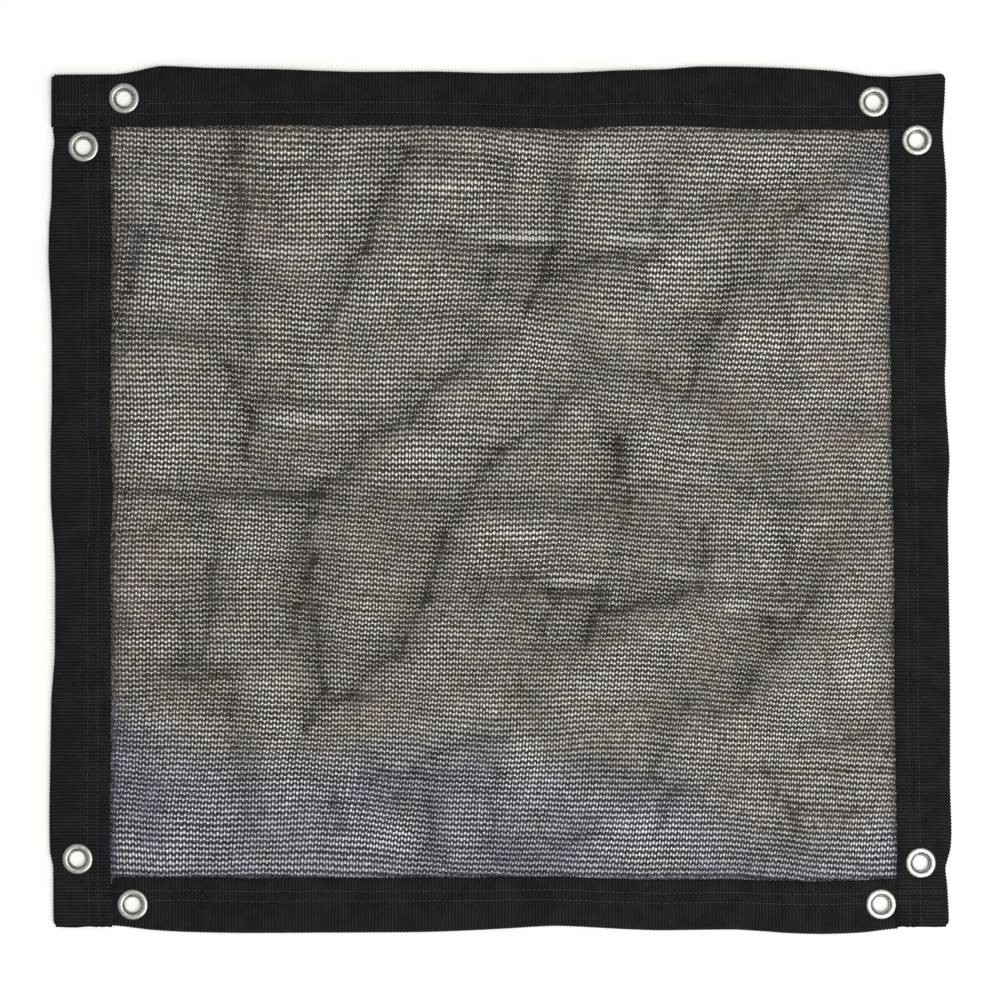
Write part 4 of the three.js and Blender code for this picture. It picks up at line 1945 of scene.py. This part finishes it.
@dataclass
class Sewing:
    """The two rows of stitches round the border, which run on over each corner."""

    border: Border
    finish: SewingThread
    pitch: float = 3.6
    length: float = 3.0
    width: float = 0.62
    depth: float = 0.5
    rise: float = 0.16
    dip: float = 0.2
    edge: float = 1.8
    uneven: float = 0.12
    stray: float = 0.08
    clearance: float = 0.4
    seed: int = 3

    def row(self, plan: StripPlan, seam: float) -> tuple[np.ndarray, np.ndarray]:
        """One row's stitches.

        Args:
            plan: the strip that the row is sewn along.
            seam: how far the row is from the fold.

        Returns:
            X and Y of each stitch's start, middle and end.
        """
        rng = np.random.default_rng(self.seed + len(plan.side.value))
        low, high = (self.border.plan(side) for side in plan.side.ends)
        start = float(low.outer(plan.across(plan.start, seam))) + self.edge
        end = float(high.outer(plan.across(plan.end, seam))) - self.edge
        count = int((end - start) / self.pitch)
        middle = start + self.pitch * (np.arange(count) + 0.5)
        middle = middle + rng.normal(0, self.uneven, count)
        at = middle[:, None] + self.length / 2 * np.array([-1, 0, 1])
        across = plan.across(at, np.full(at.shape, seam)) + rng.normal(0, self.stray, (count, 1))
        return (at, across) if plan.side.along_x else (across, at)

    def build(self) -> None:
        """Builds all the stitches as one piece."""
        rows = [self.row(plan, seam) for plan in self.border.plans for seam in SEAMS]
        x, y = (np.concatenate(parts) for parts in zip(*rows, strict=True))
        clear = (self.border.to_eyelet(x, y) > EYELET_RADIUS + self.clearance).all(axis=1)
        x, y = x[clear], y[clear]
        lift = np.array([-self.dip, self.rise, -self.dip])
        centres = np.stack((x, y, self.border.top(x, y) + lift), axis=-1)
        size = x.shape
        bars = Bars.create(len(x), centres.shape[1], YARN_SIDES)
        upright = np.broadcast_to(np.array([0.0, 0.0, 1.0]), (*size, 3))
        bars.sweep(centres, upright, np.full(size, self.width), np.full(size, self.depth))
        piece = Piece("border_sewing")
        piece.add(bars.mesh)
        piece.finish(self.finish.build(), "webbing")


@dataclass
class Eyelet:
    """A clinched metal eyelet: rolled rim, flat crown, and a funnel into its barrel. Shade is
    painted dark into the groove between two radii and lighter into the bore, and the bore leans
    under its rolled top."""

    place: EyeletPlace
    steps: int = 72
    groove: Span = (6.25, 6.7)
    groove_top: float = 4.0
    bore_radius: float = 5.65
    bore_top: float = 3.2
    bore_shade: float = 0.55
    lean_by: tuple[float, float] = (-0.22, -0.34)

    def build(self, material: bpy.types.Material) -> None:
        """Turns the eyelet's profile round its axis.

        Args:
            material: the metal's material.
        """
        piece = Piece(self.place.node.replace("eyelet", "ring"))
        shape = piece.shape
        corners = [shape.verts.new((r * MM, 0, z * MM)) for r, z in EYELET_PROFILE]
        edges = [
            shape.edges.new((corner, corners[(k + 1) % len(corners)]))
            for k, corner in enumerate(corners)
        ]
        bmesh.ops.spin(
            shape,
            geom=[*corners, *edges],
            cent=(0, 0, 0),
            axis=(0, 0, 1),
            angle=2 * math.pi,
            steps=self.steps,
            use_merge=True,
            use_duplicate=False,
        )
        bmesh.ops.remove_doubles(shape, verts=shape.verts, dist=1e-6)
        self.lean(shape)
        bmesh.ops.recalc_face_normals(shape, faces=shape.faces)
        bmesh.ops.translate(
            shape, verts=shape.verts, vec=(self.place.x * MM, self.place.y * MM, 0)
        )
        obj = piece.finish(material, "eyelet_metal", (self.place.node,))
        x, y, z = vertex_points(obj.data).T / MM
        radius = np.hypot(x - self.place.x, y - self.place.y)
        # Painted shade: dark in the groove's ring, lighter in the bore.
        inner, outer = self.groove
        groove = (radius > inner) & (radius < outer) & (z < self.groove_top)
        bore = self.bore_shade * (radius <= inner) * (z < self.bore_top)
        set_attribute(obj.data, "soiled", np.where(groove, 1, bore))

    def lean(self, shape: bmesh.types.BMesh) -> None:
        """Leans the bore a little, so that its upper wall shows from straight above.

        Args:
            shape: the eyelet, still round the origin.
        """
        radius, top = self.bore_radius * MM, self.bore_top * MM
        for vertex in shape.verts:
            if math.hypot(vertex.co.x, vertex.co.y) < radius and vertex.co.z < top:
                depth = 1 - vertex.co.z / top
                vertex.co.x += self.lean_by[0] * MM * depth
                vertex.co.y += self.lean_by[1] * MM * depth


@dataclass(frozen=True)
class Softbox:
    """A square studio light that points at the middle of the net, its lengths in metres."""

    name: str
    place: tuple[float, float, float]
    size: float
    power: float

    def build(self) -> None:
        """Adds the light, which the camera itself doesn't see."""
        light = bpy.data.lights.new(self.name, "AREA")
        light.shape = "SQUARE"
        light.size = self.size
        light.energy = self.power
        obj = new_object(self.name, light)
        obj.location = self.place
        obj.rotation_euler = obj.location.to_track_quat("Z", "Y").to_euler()
        obj.visible_camera = False


@dataclass(frozen=True)
class Studio:
    """Plain pale floor, its size in metres, soft light, and the camera straight above the net."""

    floor: PaleFloor
    floor_size: float = 6.0
    floor_drop: float = 0.3
    view_width: float = 690.0
    lens: float = 200.0
    sensor: float = 36.0
    world_colour: str = "f2f4f6"
    world_strength: float = 0.4
    lights: tuple[Softbox, ...] = (
        Softbox("high_softbox", (1.0, -0.9, 2.7), 1.5, 34.0),
        Softbox("key_softbox", (1.9, -1.8, 1.3), 1.1, 13.0),
        Softbox("top_softbox", (0.6, 0.55, 4.1), 1.1, 9.0),
    )

    def build(self) -> None:
        """Adds the floor, the lights, the world and the camera."""
        shape = bmesh.new()
        bmesh.ops.create_grid(shape, x_segments=1, y_segments=1, size=self.floor_size / 2)
        bmesh.ops.translate(shape, verts=shape.verts, vec=(0, 0, -self.floor_drop * MM))
        floor = new_object("studio_floor", new_mesh("studio_floor", shape))
        floor.data.materials.append(self.floor.build())
        floor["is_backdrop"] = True
        for light in self.lights:
            light.build()
        self.build_world()
        self.build_camera()

    def build_world(self) -> None:
        """A plain pale surrounding, shown without any tone curve."""
        scene = bpy.context.scene
        world = bpy.data.worlds.new("studio")
        world.use_nodes = True
        world.node_tree.nodes.clear()
        pale = {"Color": srgb(self.world_colour), "Strength": self.world_strength}
        sky = add_node(world.node_tree, "Background", pale)
        add_node(world.node_tree, "OutputWorld", {"Surface": sky})
        scene.world = world
        scene.view_settings.view_transform = "Standard"

    def build_camera(self) -> None:
        """The camera, high above the middle, so that the frame's width is the view's."""
        camera = bpy.data.cameras.new("camera")
        camera.lens = self.lens
        camera.sensor_width = self.sensor
        obj = new_object("camera", camera)
        obj.location = (0, 0, self.view_width * MM * self.lens / self.sensor)
        bpy.context.scene.camera = obj


def main() -> None:
    """Builds the net on its frame."""
    logging.basicConfig(level=logging.INFO, format="%(name)s: %(message)s")
    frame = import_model()
    cad_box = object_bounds()
    border = Border.from_frame(frame)
    webbing = RibbedWebbing().build()
    metal = NickelPlate().build()
    for plan in border.plans:
        BorderStrip(border, plan).build(webbing)
    for place in border.eyelets:
        Eyelet(place).build(metal)
    parts = {
        "net": NetPanel(Knit(NetSurface(border)), KnittedYarn()),
        "sewing": Sewing(border, SewingThread()),
        "studio": Studio(PaleFloor()),
    }
    for name, part in parts.items():
        part.build()
        LOG.info("built the %s", name)
    boxes = {"cad": cad_box, "visual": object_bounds()}
    plain = {name: [list(corner) for corner in box] for name, box in boxes.items()}


if __name__ == "__main__":
    main()
